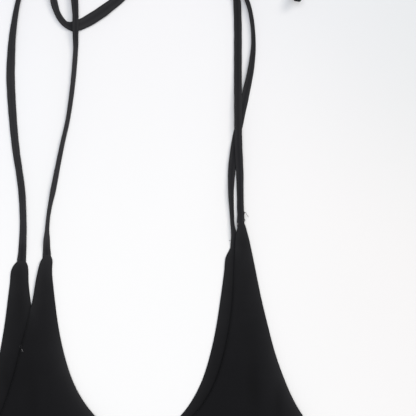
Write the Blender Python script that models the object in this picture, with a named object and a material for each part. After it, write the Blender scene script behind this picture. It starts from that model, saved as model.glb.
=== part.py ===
"""Tank top with four tie straps, laid flat on a surface.

A maker cuts two panels, front and back, and four narrow ties. The panels are joined at
the side seams, and a tie is sewn into each of their four peaks. Over each shoulder the
front and the back tie are knotted together, and their ends lie loose.

Metres. The top lies on Z = 0. X runs across it and Y from hem to shoulder, with the
origin under the middle of the two panels. The tables below measure Y from the chest, and
each piece is placed so that this line lies CHEST_Y above the origin.
"""

import math
from typing import NamedTuple

import bmesh
import bpy
import numpy as np

# Driving dimensions
CLOTH = 0.0012  # wall of a panel, with the facing that is turned inside it
SEAM_GAP = 0.0003  # air between pieces that are sewn or laid together
SURFACE_GAP = 0.0002  # air between a tie and the surface
BODY_LENGTH = 0.540  # from the higher front peak to the hem
PEAK_HEIGHT = 0.231  # of that peak above the chest line
HEM_WIDTH = 0.381  # half of the way round the hem
HEM_RISE = 0.0028  # of the hem from its middle to the side seams
TIE_WIDTH = 0.0066
TIE_WALL = 0.0012
KNOT_WIDTH = 0.018
KNOT_LENGTH = 0.012
KNOT_HEIGHT = 0.0084
KNOT_ROUNDING = 0.0026

# How finely the cloth is divided
STEPS_ABOVE = 2  # rows of faces between two sections above the neck's lowest point
STEPS_BELOW = 5  # and below it
FRONT_COLUMNS = 10  # from the middle to a side
BACK_COLUMNS = 4
TIE_STEPS = 1  # rings of a tie between two of its points
TAIL_STEPS = 2

# The front sinks from the back panel to the surface where nothing lies under it
SINK_START = 0.006  # this far outside the back's edge
SINK_END = 0.018
SINK_DEPTH = 0.0011

# It rises where its right peak lies on the back's tie
TIE_RISE = 0.0012
TIE_RISE_END = 0.014  # this far from the tie's edge

MERGE_DISTANCE = 0.00001

BLACK_CLOTH = (0.0110, 0.0108, 0.0124, 1.0)
BLACK_TIE = (0.0190, 0.0186, 0.0208, 1.0)
CLOTH_ROUGHNESS = 0.9
TIE_ROUGHNESS = 0.85


class Section(NamedTuple):
    """One rib of cloth, from the neckline or centre line out to the armhole or side."""

    inner_x: float
    inner_y: float
    outer_x: float
    outer_y: float


class Rib(NamedTuple):
    """One rib of the body below the arms, the same on both sides of the centre line."""

    back_shift: float  # how far the back's centre line lies to the side of the front's
    centre_y: float
    side_x: float
    side_y: float


class Fold(NamedTuple):
    """A soft ridge in the front: its middle, heading in degrees, and sizes."""

    x: float
    y: float
    heading: float
    half_length: float
    half_width: float
    height: float


class TiePoint(NamedTuple):
    """A point on a tie. Roll lifts its right-hand edge, in degrees, seen along its way."""

    x: float
    y: float
    roll: float
    lift: float
    widening: float = 1.0


CHEST_Y = BODY_LENGTH / 2 - PEAK_HEIGHT
HEM_Y = PEAK_HEIGHT - BODY_LENGTH
HALF_HEM = HEM_WIDTH / 2

# Sections from the tip of each peak down to the lowest point of the neck
PEAKS = {
    ("front", "right"): [
        Section(0.0741, 0.2304, 0.0805, PEAK_HEIGHT),
        Section(0.0738, 0.2258, 0.0821, 0.2250),
        Section(0.0732, 0.2170, 0.0842, 0.2170),
        Section(0.0725, 0.2026, 0.0873, 0.2026),
        Section(0.0717, 0.1882, 0.0902, 0.1882),
        Section(0.0710, 0.1706, 0.0938, 0.1706),
        Section(0.0684, 0.1482, 0.0992, 0.1482),
        Section(0.0644, 0.1274, 0.1048, 0.1270),
        Section(0.0576, 0.1050, 0.1126, 0.1050),
        Section(0.0476, 0.0866, 0.1210, 0.0866),
        Section(0.0336, 0.0714, 0.1320, 0.0698),
        Section(0.0176, 0.0606, 0.1512, 0.0482),
        Section(0.0000, 0.0562, 0.1880, 0.0258),
    ],
    ("front", "left"): [
        Section(-0.0750, 0.2054, -0.0806, 0.2054),
        Section(-0.0738, 0.2020, -0.0822, 0.2020),
        Section(-0.0734, 0.1978, -0.0835, 0.1978),
        Section(-0.0734, 0.1906, -0.0853, 0.1906),
        Section(-0.0726, 0.1810, -0.0873, 0.1810),
        Section(-0.0712, 0.1682, -0.0896, 0.1682),
        Section(-0.0684, 0.1482, -0.0938, 0.1482),
        Section(-0.0641, 0.1274, -0.0990, 0.1274),
        Section(-0.0570, 0.1050, -0.1048, 0.1050),
        Section(-0.0472, 0.0868, -0.1110, 0.0866),
        Section(-0.0336, 0.0714, -0.1192, 0.0682),
        Section(-0.0176, 0.0606, -0.1384, 0.0450),
        Section(0.0000, 0.0562, -0.1880, 0.0194),
    ],
    ("back", "right"): [
        Section(0.0691, 0.2112, 0.0755, 0.2114),
        Section(0.0674, 0.2076, 0.0771, 0.2082),
        Section(0.0651, 0.2026, 0.0779, 0.2026),
        Section(0.0642, 0.1930, 0.0786, 0.1930),
        Section(0.0629, 0.1826, 0.0800, 0.1826),
        Section(0.0610, 0.1690, 0.0826, 0.1690),
        Section(0.0578, 0.1482, 0.0876, 0.1482),
        Section(0.0534, 0.1274, 0.0940, 0.1274),
        Section(0.0462, 0.1042, 0.1024, 0.1042),
        Section(0.0362, 0.0854, 0.1124, 0.0850),
        Section(0.0248, 0.0722, 0.1232, 0.0690),
        Section(0.0080, 0.0602, 0.1448, 0.0466),
        Section(-0.0128, 0.0546, 0.1880, 0.0258),
    ],
    ("back", "left"): [
        Section(-0.0946, 0.2002, -0.1011, 0.2002),
        Section(-0.0934, 0.1973, -0.1038, 0.1975),
        Section(-0.0925, 0.1922, -0.1063, 0.1926),
        Section(-0.0922, 0.1834, -0.1072, 0.1834),
        Section(-0.0910, 0.1714, -0.1087, 0.1714),
        Section(-0.0885, 0.1546, -0.1108, 0.1546),
        Section(-0.0844, 0.1354, -0.1138, 0.1354),
        Section(-0.0780, 0.1162, -0.1178, 0.1162),
        Section(-0.0688, 0.0970, -0.1232, 0.0962),
        Section(-0.0548, 0.0786, -0.1316, 0.0746),
        Section(-0.0440, 0.0696, -0.1390, 0.0604),
        Section(-0.0320, 0.0610, -0.1520, 0.0400),
        Section(-0.0128, 0.0546, -0.1880, 0.0194),
    ],
}

# From under the arms to the hem
BODY = [
    Rib(-0.0108, 0.0100, 0.1863, -0.0220),
    Rib(-0.0065, -0.0850, 0.1824, -0.1000),
    Rib(-0.0025, -0.1950, 0.1842, -0.2050),
    Rib(0.0000, HEM_Y, HALF_HEM, HEM_Y + HEM_RISE),
]

FOLDS = [
    Fold(0.118, -0.008, 28, 0.070, 0.012, 0.0026),
    Fold(-0.112, -0.022, 152, 0.055, 0.012, 0.0020),
    Fold(-0.060, -0.138, 78, 0.085, 0.016, 0.0030),
    Fold(0.072, -0.160, 104, 0.070, 0.015, 0.0024),
    Fold(0.010, -0.245, 92, 0.050, 0.014, 0.0018),
    Fold(0.142, -0.205, 66, 0.045, 0.013, 0.0016),
    Fold(-0.132, -0.238, 101, 0.055, 0.014, 0.0021),
]

# Middle of each knot, on the surface
KNOTS = {"left": (-0.0720, 0.4586), "right": (0.0752, 0.4226)}

# Each tie from its peak to its knot
TIES = {
    ("back", "left"): [
        TiePoint(-0.0979, 0.2007, 8, 0.0),
        TiePoint(-0.0972, 0.2170, 42, 0.0),
        TiePoint(-0.0968, 0.2362, 50, 0.0),
        TiePoint(-0.0978, 0.2554, 48, 0.0),
        TiePoint(-0.1002, 0.2746, 44, 0.0),
        TiePoint(-0.1048, 0.3130, 30, 0.0),
        TiePoint(-0.1068, 0.3466, 10, 0.0),
        TiePoint(-0.1069, 0.3610, 30, 0.0),
        TiePoint(-0.1052, 0.3802, 46, 0.0),
        TiePoint(-0.1026, 0.3994, 60, 0.0),
        TiePoint(-0.1005, 0.4090, 64, 0.0006),
        TiePoint(-0.0955, 0.4240, 64, 0.0012),
        TiePoint(-0.0862, 0.4390, 62, 0.0014),
        TiePoint(-0.0792, 0.4468, 62, 0.0014),
        TiePoint(-0.0780, 0.4521, 62, 0.0014),
    ],
    ("front", "left"): [
        TiePoint(-0.0778, 0.2057, -10, 0.0001),
        TiePoint(-0.0777, 0.2170, -50, 0.0),
        TiePoint(-0.0773, 0.2314, -74, 0.0),
        TiePoint(-0.0750, 0.2458, -68, 0.0),
        TiePoint(-0.0711, 0.2650, -60, 0.0),
        TiePoint(-0.0654, 0.2938, -66, 0.0),
        TiePoint(-0.0611, 0.3130, -69, 0.0),
        TiePoint(-0.0582, 0.3322, -66, 0.0),
        TiePoint(-0.0553, 0.3610, -64, 0.0),
        TiePoint(-0.0548, 0.3754, -60, 0.0012),
        TiePoint(-0.0550, 0.3866, -52, 0.0028),
        TiePoint(-0.0552, 0.3970, -50, 0.0030),
        TiePoint(-0.0557, 0.4090, -44, 0.0024),
        TiePoint(-0.0572, 0.4270, -58, 0.0016),
        TiePoint(-0.0625, 0.4400, -62, 0.0014),
        TiePoint(-0.0656, 0.4470, -62, 0.0014),
        TiePoint(-0.0662, 0.4521, -62, 0.0014),
    ],
    ("front", "right"): [
        TiePoint(0.0773, 0.2314, 3, 0.0021),
        TiePoint(0.0770, 0.2440, 30, 0.0006),
        TiePoint(0.0768, 0.2620, 33, 0.0008),
        TiePoint(0.0762, 0.2780, 32, 0.0024),
        TiePoint(0.0755, 0.2960, 30, 0.0030),
        TiePoint(0.0752, 0.3130, 30, 0.0030),
        TiePoint(0.0751, 0.3290, 32, 0.0022),
        TiePoint(0.0751, 0.3450, 33, 0.0010),
        TiePoint(0.0751, 0.3650, 32, 0.0004),
        TiePoint(0.0750, 0.3850, 30, 0.0004),
        TiePoint(0.0742, 0.4030, 34, 0.0014),
        TiePoint(0.0728, 0.4110, 46, 0.0018),
        TiePoint(0.0726, 0.4161, 50, 0.0018),
    ],
    ("back", "right"): [
        TiePoint(0.0723, 0.2117, 0, 0.0),
        TiePoint(0.0723, 0.2170, -2, 0.0),
        TiePoint(0.0720, 0.2210, -6, 0.0),
        TiePoint(0.0713, 0.2248, -32, 0.0),
        TiePoint(0.0709, 0.2284, -56, 0.0),
        TiePoint(0.0703, 0.2350, -67, 0.0),
        TiePoint(0.0698, 0.2458, -63, 0.0),
        TiePoint(0.0696, 0.2554, -55, 0.0),
        TiePoint(0.0700, 0.2670, -38, 0.0),
        TiePoint(0.0715, 0.2800, -12, 0.0),
        TiePoint(0.0742, 0.2990, -9, 0.0),
        TiePoint(0.0775, 0.3160, -9, 0.0),
        TiePoint(0.0808, 0.3310, -14, 0.0),
        TiePoint(0.0832, 0.3418, -42, 0.0),
        TiePoint(0.0852, 0.3514, -50, 0.0),
        TiePoint(0.0866, 0.3610, -57, 0.0),
        TiePoint(0.0874, 0.3802, -70, 0.0004),
        TiePoint(0.0865, 0.3922, -71, 0.0008),
        TiePoint(0.0836, 0.4050, -68, 0.0012),
        TiePoint(0.0798, 0.4114, -64, 0.0014),
        TiePoint(0.0792, 0.4161, -62, 0.0014),
    ],
}

# Each tie's loose end, from its knot to its cut
TAILS = {
    ("front", "left"): [
        TiePoint(-0.0720, 0.4521, 60, 0.0014),
        TiePoint(-0.0722, 0.4470, 60, 0.0016),
        TiePoint(-0.0742, 0.4330, 56, 0.0018),
        TiePoint(-0.0744, 0.4202, 52, 0.0018),
        TiePoint(-0.0724, 0.4090, 48, 0.0012),
        TiePoint(-0.0694, 0.3994, 46, 0.0004),
        TiePoint(-0.0660, 0.3934, 34, 0.0),
        TiePoint(-0.0616, 0.3890, 12, 0.0, 1.05),
        TiePoint(-0.0560, 0.3876, 7, 0.0, 1.15),
        TiePoint(-0.0496, 0.3896, 6, 0.0, 1.25),
        TiePoint(-0.0416, 0.3946, 6, 0.0, 1.30),
        TiePoint(-0.0344, 0.3994, 6, 0.0, 1.30),
        TiePoint(-0.0281, 0.4042, 6, 0.0, 1.28),
        TiePoint(-0.0219, 0.4090, 6, 0.0, 1.24),
        TiePoint(-0.0160, 0.4142, 6, 0.0, 1.18),
        TiePoint(-0.0112, 0.4186, 6, 0.0, 1.12),
    ],
    ("back", "left"): [
        TiePoint(-0.0745, 0.4651, 40, 0.0024),
        TiePoint(-0.0748, 0.4700, 34, 0.0018),
        TiePoint(-0.0790, 0.4820, 22, 0.0008),
        TiePoint(-0.0900, 0.4930, 14, 0.0),
        TiePoint(-0.1080, 0.5010, 10, 0.0),
        TiePoint(-0.1290, 0.5000, 12, 0.0),
        TiePoint(-0.1480, 0.4910, 20, 0.0),
        TiePoint(-0.1640, 0.4760, 26, 0.0),
    ],
    ("front", "right"): [
        TiePoint(0.0721, 0.4291, -40, 0.0024),
        TiePoint(0.0718, 0.4340, -34, 0.0018),
        TiePoint(0.0686, 0.4480, -22, 0.0008),
        TiePoint(0.0600, 0.4640, -14, 0.0),
        TiePoint(0.0440, 0.4810, -10, 0.0),
        TiePoint(0.0230, 0.4890, -12, 0.0),
        TiePoint(-0.0030, 0.4890, -16, 0.0),
        TiePoint(-0.0280, 0.4960, -20, 0.0),
        TiePoint(-0.0460, 0.5120, -14, 0.0),
    ],
    ("back", "right"): [
        TiePoint(0.0783, 0.4291, 40, 0.0024),
        TiePoint(0.0786, 0.4340, 36, 0.0018),
        TiePoint(0.0824, 0.4500, 26, 0.0008),
        TiePoint(0.0920, 0.4700, 18, 0.0),
        TiePoint(0.1080, 0.4860, 12, 0.0),
        TiePoint(0.1240, 0.4840, 12, 0.0),
        TiePoint(0.1320, 0.4700, 14, 0.0),
        TiePoint(0.1316, 0.4500, 16, 0.0004),
        TiePoint(0.1262, 0.4260, 20, 0.0026),
        TiePoint(0.1227, 0.4082, 24, 0.0060),
    ],
}


def clear_scene():
    """Remove every object, so that only the top is left."""
    for item in list(bpy.data.objects):
        bpy.data.objects.remove(item, do_unlink=True)


def cloth_material(name, color, roughness):
    """A matte dyed cloth."""
    material = bpy.data.materials.new(name)
    material.use_nodes = True
    shader = material.node_tree.nodes["Principled BSDF"]
    shader.inputs["Base Color"].default_value = color
    shader.inputs["Roughness"].default_value = roughness
    shader.inputs["Metallic"].default_value = 0.0
    return material


def add_object(name, mesh, material):
    """A new object of the mesh, which is measured from the chest line, with its material."""
    mesh.materials.append(material)
    item = bpy.data.objects.new(name, mesh)
    item.location.y = CHEST_Y
    bpy.context.collection.objects.link(item)
    return item


def smooth(rows, steps):
    """Rows of a smooth curve through the given ones, with so many steps to a stretch.

    The first two columns are its place, and any others change smoothly with them.
    """
    rows = np.array(rows, dtype=float)
    chords = np.linalg.norm(np.diff(rows[:, :2], axis=0), axis=1)
    time = np.concatenate([[0.0], np.cumsum(np.sqrt(chords))])
    slopes = np.gradient(rows, time, axis=0)
    made = [rows[0]]
    for i in range(len(rows) - 1):
        span = time[i + 1] - time[i]
        for s in np.linspace(0, 1, steps + 1)[1:]:
            made.append(
                (2 * s**3 - 3 * s**2 + 1) * rows[i]
                + (s**3 - 2 * s**2 + s) * span * slopes[i]
                + (3 * s**2 - 2 * s**3) * rows[i + 1]
                + (s**3 - s**2) * span * slopes[i + 1]
            )
    return np.array(made)


def panel_edges(panel):
    """Inner and outer edge of each half of a panel, as rows of points from tip to hem."""
    left, right = PEAKS[panel, "left"], PEAKS[panel, "right"]
    neck = [s[:2] for s in left] + [s[:2] for s in reversed(right[:-1])]
    neck = smooth(neck, STEPS_ABOVE)
    halfway = (len(left) - 1) * STEPS_ABOVE
    inner_above = {"left": neck[: halfway + 1], "right": neck[halfway:][::-1]}
    edges = {}
    for side, sign in (("left", -1), ("right", 1)):
        sections = PEAKS[panel, side]
        armhole = smooth([s[2:] for s in sections], STEPS_ABOVE)
        shifts = [r.back_shift if panel == "back" else 0.0 for r in BODY]
        centre = [sections[-1][:2]] + [(d, r.centre_y) for d, r in zip(shifts, BODY)]
        seam = [sections[-1][2:]] + [(sign * r.side_x, r.side_y) for r in BODY]
        inner = np.concatenate([inner_above[side], smooth(centre, STEPS_BELOW)[1:]])
        outer = np.concatenate([armhole, smooth(seam, STEPS_BELOW)[1:]])
        edges[side] = (inner, outer)
    return edges


def outline(edges):
    """The panel's edge all round, from the left tip down, along the hem and up."""
    left_inner, left_outer = edges["left"]
    right_inner, right_outer = edges["right"]
    above = (len(PEAKS["front", "left"]) - 1) * STEPS_ABOVE
    neck = np.concatenate([right_inner[:above], left_inner[above::-1]])
    return np.concatenate([left_outer, right_outer[::-1], neck])


def distance_outside(point, loop):
    """How far a point lies outside a closed outline, or 0 where it is on or in it."""
    start, end = loop, np.roll(loop, -1, axis=0)
    crosses = (start[:, 1] > point[1]) != (end[:, 1] > point[1])
    rise = np.where(crosses, end[:, 1] - start[:, 1], 1.0)
    at_x = start[:, 0] + (point[1] - start[:, 1]) / rise * (end[:, 0] - start[:, 0])
    if np.count_nonzero(crosses & (at_x > point[0])) % 2:
        return 0.0
    way = end - start
    length_squared = np.maximum((way**2).sum(axis=1), 1e-18)
    share = np.clip(((point - start) * way).sum(axis=1) / length_squared, 0, 1)
    nearest = start + share[:, None] * way
    return float(np.linalg.norm(point - nearest, axis=1).min())


def ease(value, low, high):
    """0 below low, 1 above high, and a soft step between them."""
    s = min(max((value - low) / (high - low), 0.0), 1.0)
    return s * s * (3 - 2 * s)


def fold_height(x, y):
    """Height that the folds add to the front at a place."""
    height = 0.0
    for fold in FOLDS:
        turn = math.radians(fold.heading)
        along = (x - fold.x) * math.cos(turn) + (y - fold.y) * math.sin(turn)
        across = (y - fold.y) * math.cos(turn) - (x - fold.x) * math.sin(turn)
        spread = (along / fold.half_length) ** 2 + (across / fold.half_width) ** 2
        height += fold.height * math.exp(-spread)
    return height


def tie_outline(points):
    """The edge all round the place that a tie covers when it lies flat."""
    rows = smooth(points, STEPS_ABOVE)[:, :2]
    ways = np.gradient(rows, axis=0)
    ways /= np.linalg.norm(ways, axis=1)[:, None]
    right = np.stack([ways[:, 1], -ways[:, 0]], axis=1) * TIE_WIDTH / 2
    return np.concatenate([rows + right, (rows - right)[::-1]])


def front_heights(back_outline, back_tie):
    """A function giving the front's underside: on the back and its tie, or beside them."""
    on_back = CLOTH + SEAM_GAP

    def height(x, y):
        from_back = distance_outside(np.array([x, y]), back_outline)
        from_tie = distance_outside(np.array([x, y]), back_tie)
        sink = SINK_DEPTH * ease(min(from_back, from_tie), SINK_START, SINK_END)
        rise = TIE_RISE * (1 - ease(from_tie, 0, TIE_RISE_END))
        return on_back - sink + rise + fold_height(x, y)

    return height


def panel(name, edges, columns, height, material):
    """A wall of cloth whose underside is a grid of points between the panel's edges."""
    mesh = bpy.data.meshes.new(name)
    cloth = bmesh.new()
    grids = {}
    for side, (inner, outer) in edges.items():
        grids[side] = []
        for start, end in zip(inner, outer):
            places = [start + (end - start) * c / columns for c in range(columns + 1)]
            grids[side].append([cloth.verts.new((x, y, height(x, y))) for x, y in places])
    for side, grid in grids.items():
        for upper, lower in zip(grid, grid[1:]):
            for c in range(columns):
                corners = [upper[c], upper[c + 1], lower[c + 1], lower[c]]
                cloth.faces.new(corners if side == "left" else corners[::-1])
    bmesh.ops.remove_doubles(cloth, verts=cloth.verts, dist=MERGE_DISTANCE)
    cloth.to_mesh(mesh)
    cloth.free()
    item = add_object(name, mesh, material)
    wall = item.modifiers.new("wall", "SOLIDIFY")
    wall.thickness = CLOTH
    wall.offset = 1.0
    return item


def band(name, points, steps, material):
    """A flat strap along the points, rolled about its own line."""
    rows = smooth(points, steps)
    ways = np.gradient(rows[:, :2], axis=0)
    mesh = bpy.data.meshes.new(name)
    strap = bmesh.new()
    rings = []
    for (x, y, roll, lift, widening), way in zip(rows, ways):
        roll = math.radians(roll)
        right = np.array([way[1], -way[0]]) / np.linalg.norm(way)
        half_width = TIE_WIDTH * widening / 2
        side = np.array([*right * math.cos(roll), math.sin(roll)]) * half_width
        up = np.array([*right * -math.sin(roll), math.cos(roll)]) * TIE_WALL / 2
        middle = np.array([x, y, SURFACE_GAP + lift + abs(side[2]) + up[2]])
        corners = (middle - side - up, middle + side - up, middle + side + up, middle - side + up)
        rings.append([strap.verts.new(corner) for corner in corners])
    for ring, after in zip(rings, rings[1:]):
        for k in range(4):
            strap.faces.new([ring[k], ring[(k + 1) % 4], after[(k + 1) % 4], after[k]])
    strap.faces.new(rings[0][::-1])
    strap.faces.new(rings[-1])
    bmesh.ops.recalc_face_normals(strap, faces=strap.faces)
    strap.to_mesh(mesh)
    strap.free()
    return add_object(name, mesh, material)


def knot(name, place, material):
    """The outer form of a knot that two ties make: a rounded block lying on the surface."""
    mesh = bpy.data.meshes.new(name)
    form = bmesh.new()
    bmesh.ops.create_cube(form, size=1.0)
    bmesh.ops.scale(form, vec=(KNOT_WIDTH, KNOT_LENGTH, KNOT_HEIGHT), verts=form.verts)
    bmesh.ops.bevel(
        form, geom=form.edges[:], offset=KNOT_ROUNDING, segments=2, profile=0.5, affect="EDGES"
    )
    form.to_mesh(mesh)
    form.free()
    item = add_object(name, mesh, material)
    item.location = (place[0], place[1] + CHEST_Y, SURFACE_GAP + KNOT_HEIGHT / 2)
    return item


def build():
    """The whole top."""
    clear_scene()
    cloth = cloth_material("black_cloth", BLACK_CLOTH, CLOTH_ROUGHNESS)
    strap = cloth_material("black_tie", BLACK_TIE, TIE_ROUGHNESS)
    back, front = panel_edges("back"), panel_edges("front")
    panel("back", back, BACK_COLUMNS, lambda x, y: 0.0, cloth)
    on_back = front_heights(outline(back), tie_outline(TIES["back", "right"]))
    panel("front", front, FRONT_COLUMNS, on_back, cloth)
    for (layer, side), points in TIES.items():
        band(f"tie_{layer}_{side}", points, TIE_STEPS, strap)
    for (layer, side), points in TAILS.items():
        band(f"tail_{layer}_{side}", points, TAIL_STEPS, strap)
    for side, place in KNOTS.items():
        knot(f"knot_{side}", place, strap)


build()
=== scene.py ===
"""Looks of a black tank top with four tie straps, laid flat on a pale surface.

The panels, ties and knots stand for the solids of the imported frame. Metres; the top lies
on Z = 0 with its hem towards -Y. The tables below measure Y from the chest line, which
lies CHEST_Y above the frame's origin.
"""

import math
from typing import NamedTuple

import bmesh
import bpy
import numpy as np
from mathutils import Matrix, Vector
from mathutils.geometry import delaunay_2d_cdt
from mathutils.kdtree import KDTree


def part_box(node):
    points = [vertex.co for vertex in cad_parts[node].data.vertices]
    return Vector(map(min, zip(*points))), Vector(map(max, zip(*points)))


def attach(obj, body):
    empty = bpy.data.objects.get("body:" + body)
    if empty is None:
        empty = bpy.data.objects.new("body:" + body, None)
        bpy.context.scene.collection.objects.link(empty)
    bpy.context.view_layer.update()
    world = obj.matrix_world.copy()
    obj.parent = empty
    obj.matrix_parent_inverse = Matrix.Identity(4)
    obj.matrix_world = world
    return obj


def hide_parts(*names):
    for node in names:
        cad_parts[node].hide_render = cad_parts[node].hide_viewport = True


bl_info = {
    "name": "Tie-strap tank top",
    "version": (1, 0, 0),
    "blender": (4, 5, 0),
    "location": "3D View > Sidebar > Tank top",
    "description": "Makes the cloth, ties, knots and stitches of a flat-laid tank top",
    "category": "Object",
}

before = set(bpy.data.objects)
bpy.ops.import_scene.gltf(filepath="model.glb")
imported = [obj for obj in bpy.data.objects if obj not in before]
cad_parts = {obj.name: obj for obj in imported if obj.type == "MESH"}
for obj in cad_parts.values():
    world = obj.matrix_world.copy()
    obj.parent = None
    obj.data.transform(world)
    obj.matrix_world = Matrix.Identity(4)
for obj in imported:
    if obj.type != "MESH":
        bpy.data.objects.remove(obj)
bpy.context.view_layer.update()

BODY = "root"
PEAK_HEIGHT = 0.231  # of the higher front peak above the chest line
CHEST_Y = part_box("front")[1].y - PEAK_HEIGHT
HEM_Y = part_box("front")[0].y

# Gaps that the frame's pieces keep to each other and to the surface
SEAM_GAP = 0.0003
SURFACE_GAP = 0.0002

# How a solid is read: its points merge below this distance, and a face belongs to its
# underside where its normal's Z is below this
MERGE_DISTANCE = 0.00001
DOWNWARD = -0.5

# A panel's outline: steps to a stretch of the solid's, distance between its own points, and
# the least turn of a corner in degrees
OUTLINE_STEPS = 8
EDGE_STEP = 0.0012
CORNER_TURN = 24

# Where a panel's other points lie: rows this far in from its outline, then an even lattice.
# A point keeps this share of its row's depth, or of a lattice step, clear
EDGE_ROWS = (0.00012, 0.00034, 0.0007, 0.0012, 0.0020, 0.0031, 0.0045, 0.0062)
ROW_CLEARANCE = 0.96
LATTICE_STEP = 0.0026
LATTICE_CLEARANCE = 0.6
# Points this close are one in the mesh, and one this close to the outline is on it
MESH_TOLERANCE = 1e-7
ON_OUTLINE = 1e-6

# How the front sinks beside the back panel and rises over the back's right tie. A pair
# gives where something starts to change and where it has changed, here and below
SINKING = (0.006, 0.018)
SINK_DEPTH = 0.0011
TIE_RISING = (0, 0.014)
TIE_RISE = 0.0012

# The soft ridge over the cloth turned in at a panel's edge, by distance from the edge
TURNING_HEIGHT = 0.00022
TURNING_START = (0, 0.0025)
TURNING_END = (0.0042, 0.0085)
PUCKER_HEIGHT = 0.000035
PUCKER_START = (0, 0.0015)
PUCKER_END = (0.002, 0.008)
PUCKER_LENGTHS = (0.00093, 0.0041, 0.00117)
PUCKER_SWAY = 1.7
PUCKER_PHASE = 0.8

# The hem: how far it rises at its ends, and the groove that its stitches press in the cloth
HEM_RISE = 0.0028
GROOVE_WIDTH = 0.0006
GROOVE_OVER = 0.00016
GROOVE_UNDER = 0.00022

# Painted light that makes a panel paler: how far in from its edges, strongly and then faintly,
# and the strong share; its painted sheen on a ridge of this height; and how much of it the back's
# edges have
EDGE_LIGHT_REACH = 0.0042
FADE_REACH = 0.017
EDGE_LIGHT_SHARE = 0.75
RIDGE_SHEEN = 0.07
HIGHEST_RIDGE = 0.003
BACK_EDGE_LIGHT = 0.5
# The front's painted edge light loses this share towards the peaks, and counts as bare where it
# lies less than this far in over the back
PEAK_EDGE_LIGHT_LOSS = 0.5
PEAK_NEARING = (0.11, 0.16)
BARE_DEPTH = 0.001
BORDER_STEP = 0.0003

# Painted shade: the depth of a trough in full painted shade, how far the front's edge darkens the
# back beside it with painted shade and is painted dark itself where it lies over the back, and
# where that ends by the peaks
DARKEST_TROUGH = 0.0006
EDGE_SHADE = (0, 0.0028)
CREVICE = (0.0003, 0.0020)
CREVICE_COVER = (0.0005, 0.0025)
CREVICE_END = (0.14, 0.22)


class Crease(NamedTuple):
    """A soft ridge, or a trough where its height is negative: its middle, heading in
    degrees, sizes, and how far its ends bend to the left."""

    x: float
    y: float
    heading: float
    half_length: float
    half_width: float
    height: float
    bend: float


class Wave(NamedTuple):
    """A long low ripple across a panel: its heading in degrees, length, phase and height."""

    heading: float
    length: float
    phase: float
    height: float


class Spot(NamedTuple):
    """A soft round spot where something is added: its middle, its reach and how much."""

    x: float
    y: float
    reach: float
    amount: float


class SheenStretch(NamedTuple):
    """A stretch of a tie with painted sheen, paler than the rest: how far along the tie it starts
    and ends, and how much paler it is."""

    start: float
    end: float
    share: float


class Wrap(NamedTuple):
    """A band wrapped round the middle of a knot: its sizes, tilt in degrees and phase."""

    half_width: float
    half_height: float
    half_band: float
    tilt: float
    phase: float


# How far a panel's outline is moved to the right, or below 0 to the left, at its peaks'
# corners and along the armhole edge of the front's left peak
PEAK_SHIFTS = {
    "front": (
        Spot(-0.0885, 0.1690, 0.0150, 0.0004),
        Spot(-0.0821, 0.2034, 0.0028, 0.0009),
        Spot(-0.0738, 0.2006, 0.0040, 0.0005),
        Spot(0.0742, 0.2270, 0.0024, 0.0007),
        Spot(0.0804, 0.2318, 0.0024, -0.0006),
    ),
    "back": (Spot(-0.0932, 0.1962, 0.0048, 0.0003),),
}

# How much more painted light a panel has in places, or less below 0
LIT_SPOTS = {
    "front": (Spot(-0.0776, 0.2034, 0.0112, 0.30), Spot(0.0772, 0.2122, 0.0076, -0.14)),
    "back": (Spot(-0.0980, 0.2010, 0.0088, 0.22),),
}

# Folds, small ridges and troughs in the front's outer face, and troughs in the back's inner
# face, which shows beside the front and at its neck
CREASES = {
    "front": [
        Crease(0.118, -0.008, 28, 0.070, 0.012, 0.0026, 0.004),
        Crease(-0.112, -0.022, 152, 0.055, 0.012, 0.0020, -0.003),
        Crease(-0.060, -0.138, 78, 0.085, 0.016, 0.0030, 0.006),
        Crease(0.072, -0.160, 104, 0.070, 0.015, 0.0024, -0.005),
        Crease(0.010, -0.245, 92, 0.050, 0.014, 0.0018, 0.003),
        Crease(0.142, -0.205, 66, 0.045, 0.013, 0.0016, 0.0),
        Crease(-0.132, -0.238, 101, 0.055, 0.014, 0.0021, 0.004),
        Crease(0.146, 0.006, 41, 0.034, 0.006, 0.0009, 0.002),
        Crease(-0.148, -0.004, 136, 0.030, 0.005, 0.0008, -0.002),
        Crease(0.024, -0.074, 64, 0.048, 0.009, 0.0009, 0.004),
        Crease(-0.022, -0.202, 70, 0.040, 0.008, 0.0008, -0.003),
        Crease(0.112, -0.250, 84, 0.034, 0.007, 0.0010, 0.002),
        Crease(-0.088, -0.272, 96, 0.028, 0.006, 0.0011, 0.0),
        Crease(-0.158, -0.150, 74, 0.040, 0.007, 0.0008, 0.003),
        Crease(0.164, -0.112, 108, 0.036, 0.006, 0.0007, -0.002),
        Crease(-0.034, -0.052, 118, 0.036, 0.008, 0.0006, 0.003),
        Crease(0.0878, 0.102, 91, 0.036, 0.0060, -0.0006, 0.001),
        Crease(0.1074, 0.084, 88, 0.022, 0.0036, -0.0005, 0.0),
        Crease(0.0790, 0.176, 84, 0.034, 0.0030, -0.0001, 0.0),
        Crease(-0.0890, 0.094, 94, 0.034, 0.0052, -0.0003, 0.001),
        Crease(0.050, -0.108, 60, 0.034, 0.0034, -0.0005, 0.002),
        Crease(-0.084, -0.086, 96, 0.040, 0.0036, -0.0005, -0.003),
        Crease(0.102, -0.064, 36, 0.038, 0.0036, -0.0005, 0.003),
        Crease(-0.016, -0.150, 84, 0.044, 0.0040, -0.0005, 0.004),
    ],
    "back": [
        Crease(-0.1120, 0.112, 108, 0.036, 0.0038, -0.0003, 0.001),
        Crease(0.0560, 0.122, 78, 0.034, 0.0032, -0.0003, 0.001),
        Crease(-0.0990, 0.168, 96, 0.026, 0.0030, -0.0002, 0.0),
    ],
}

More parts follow.
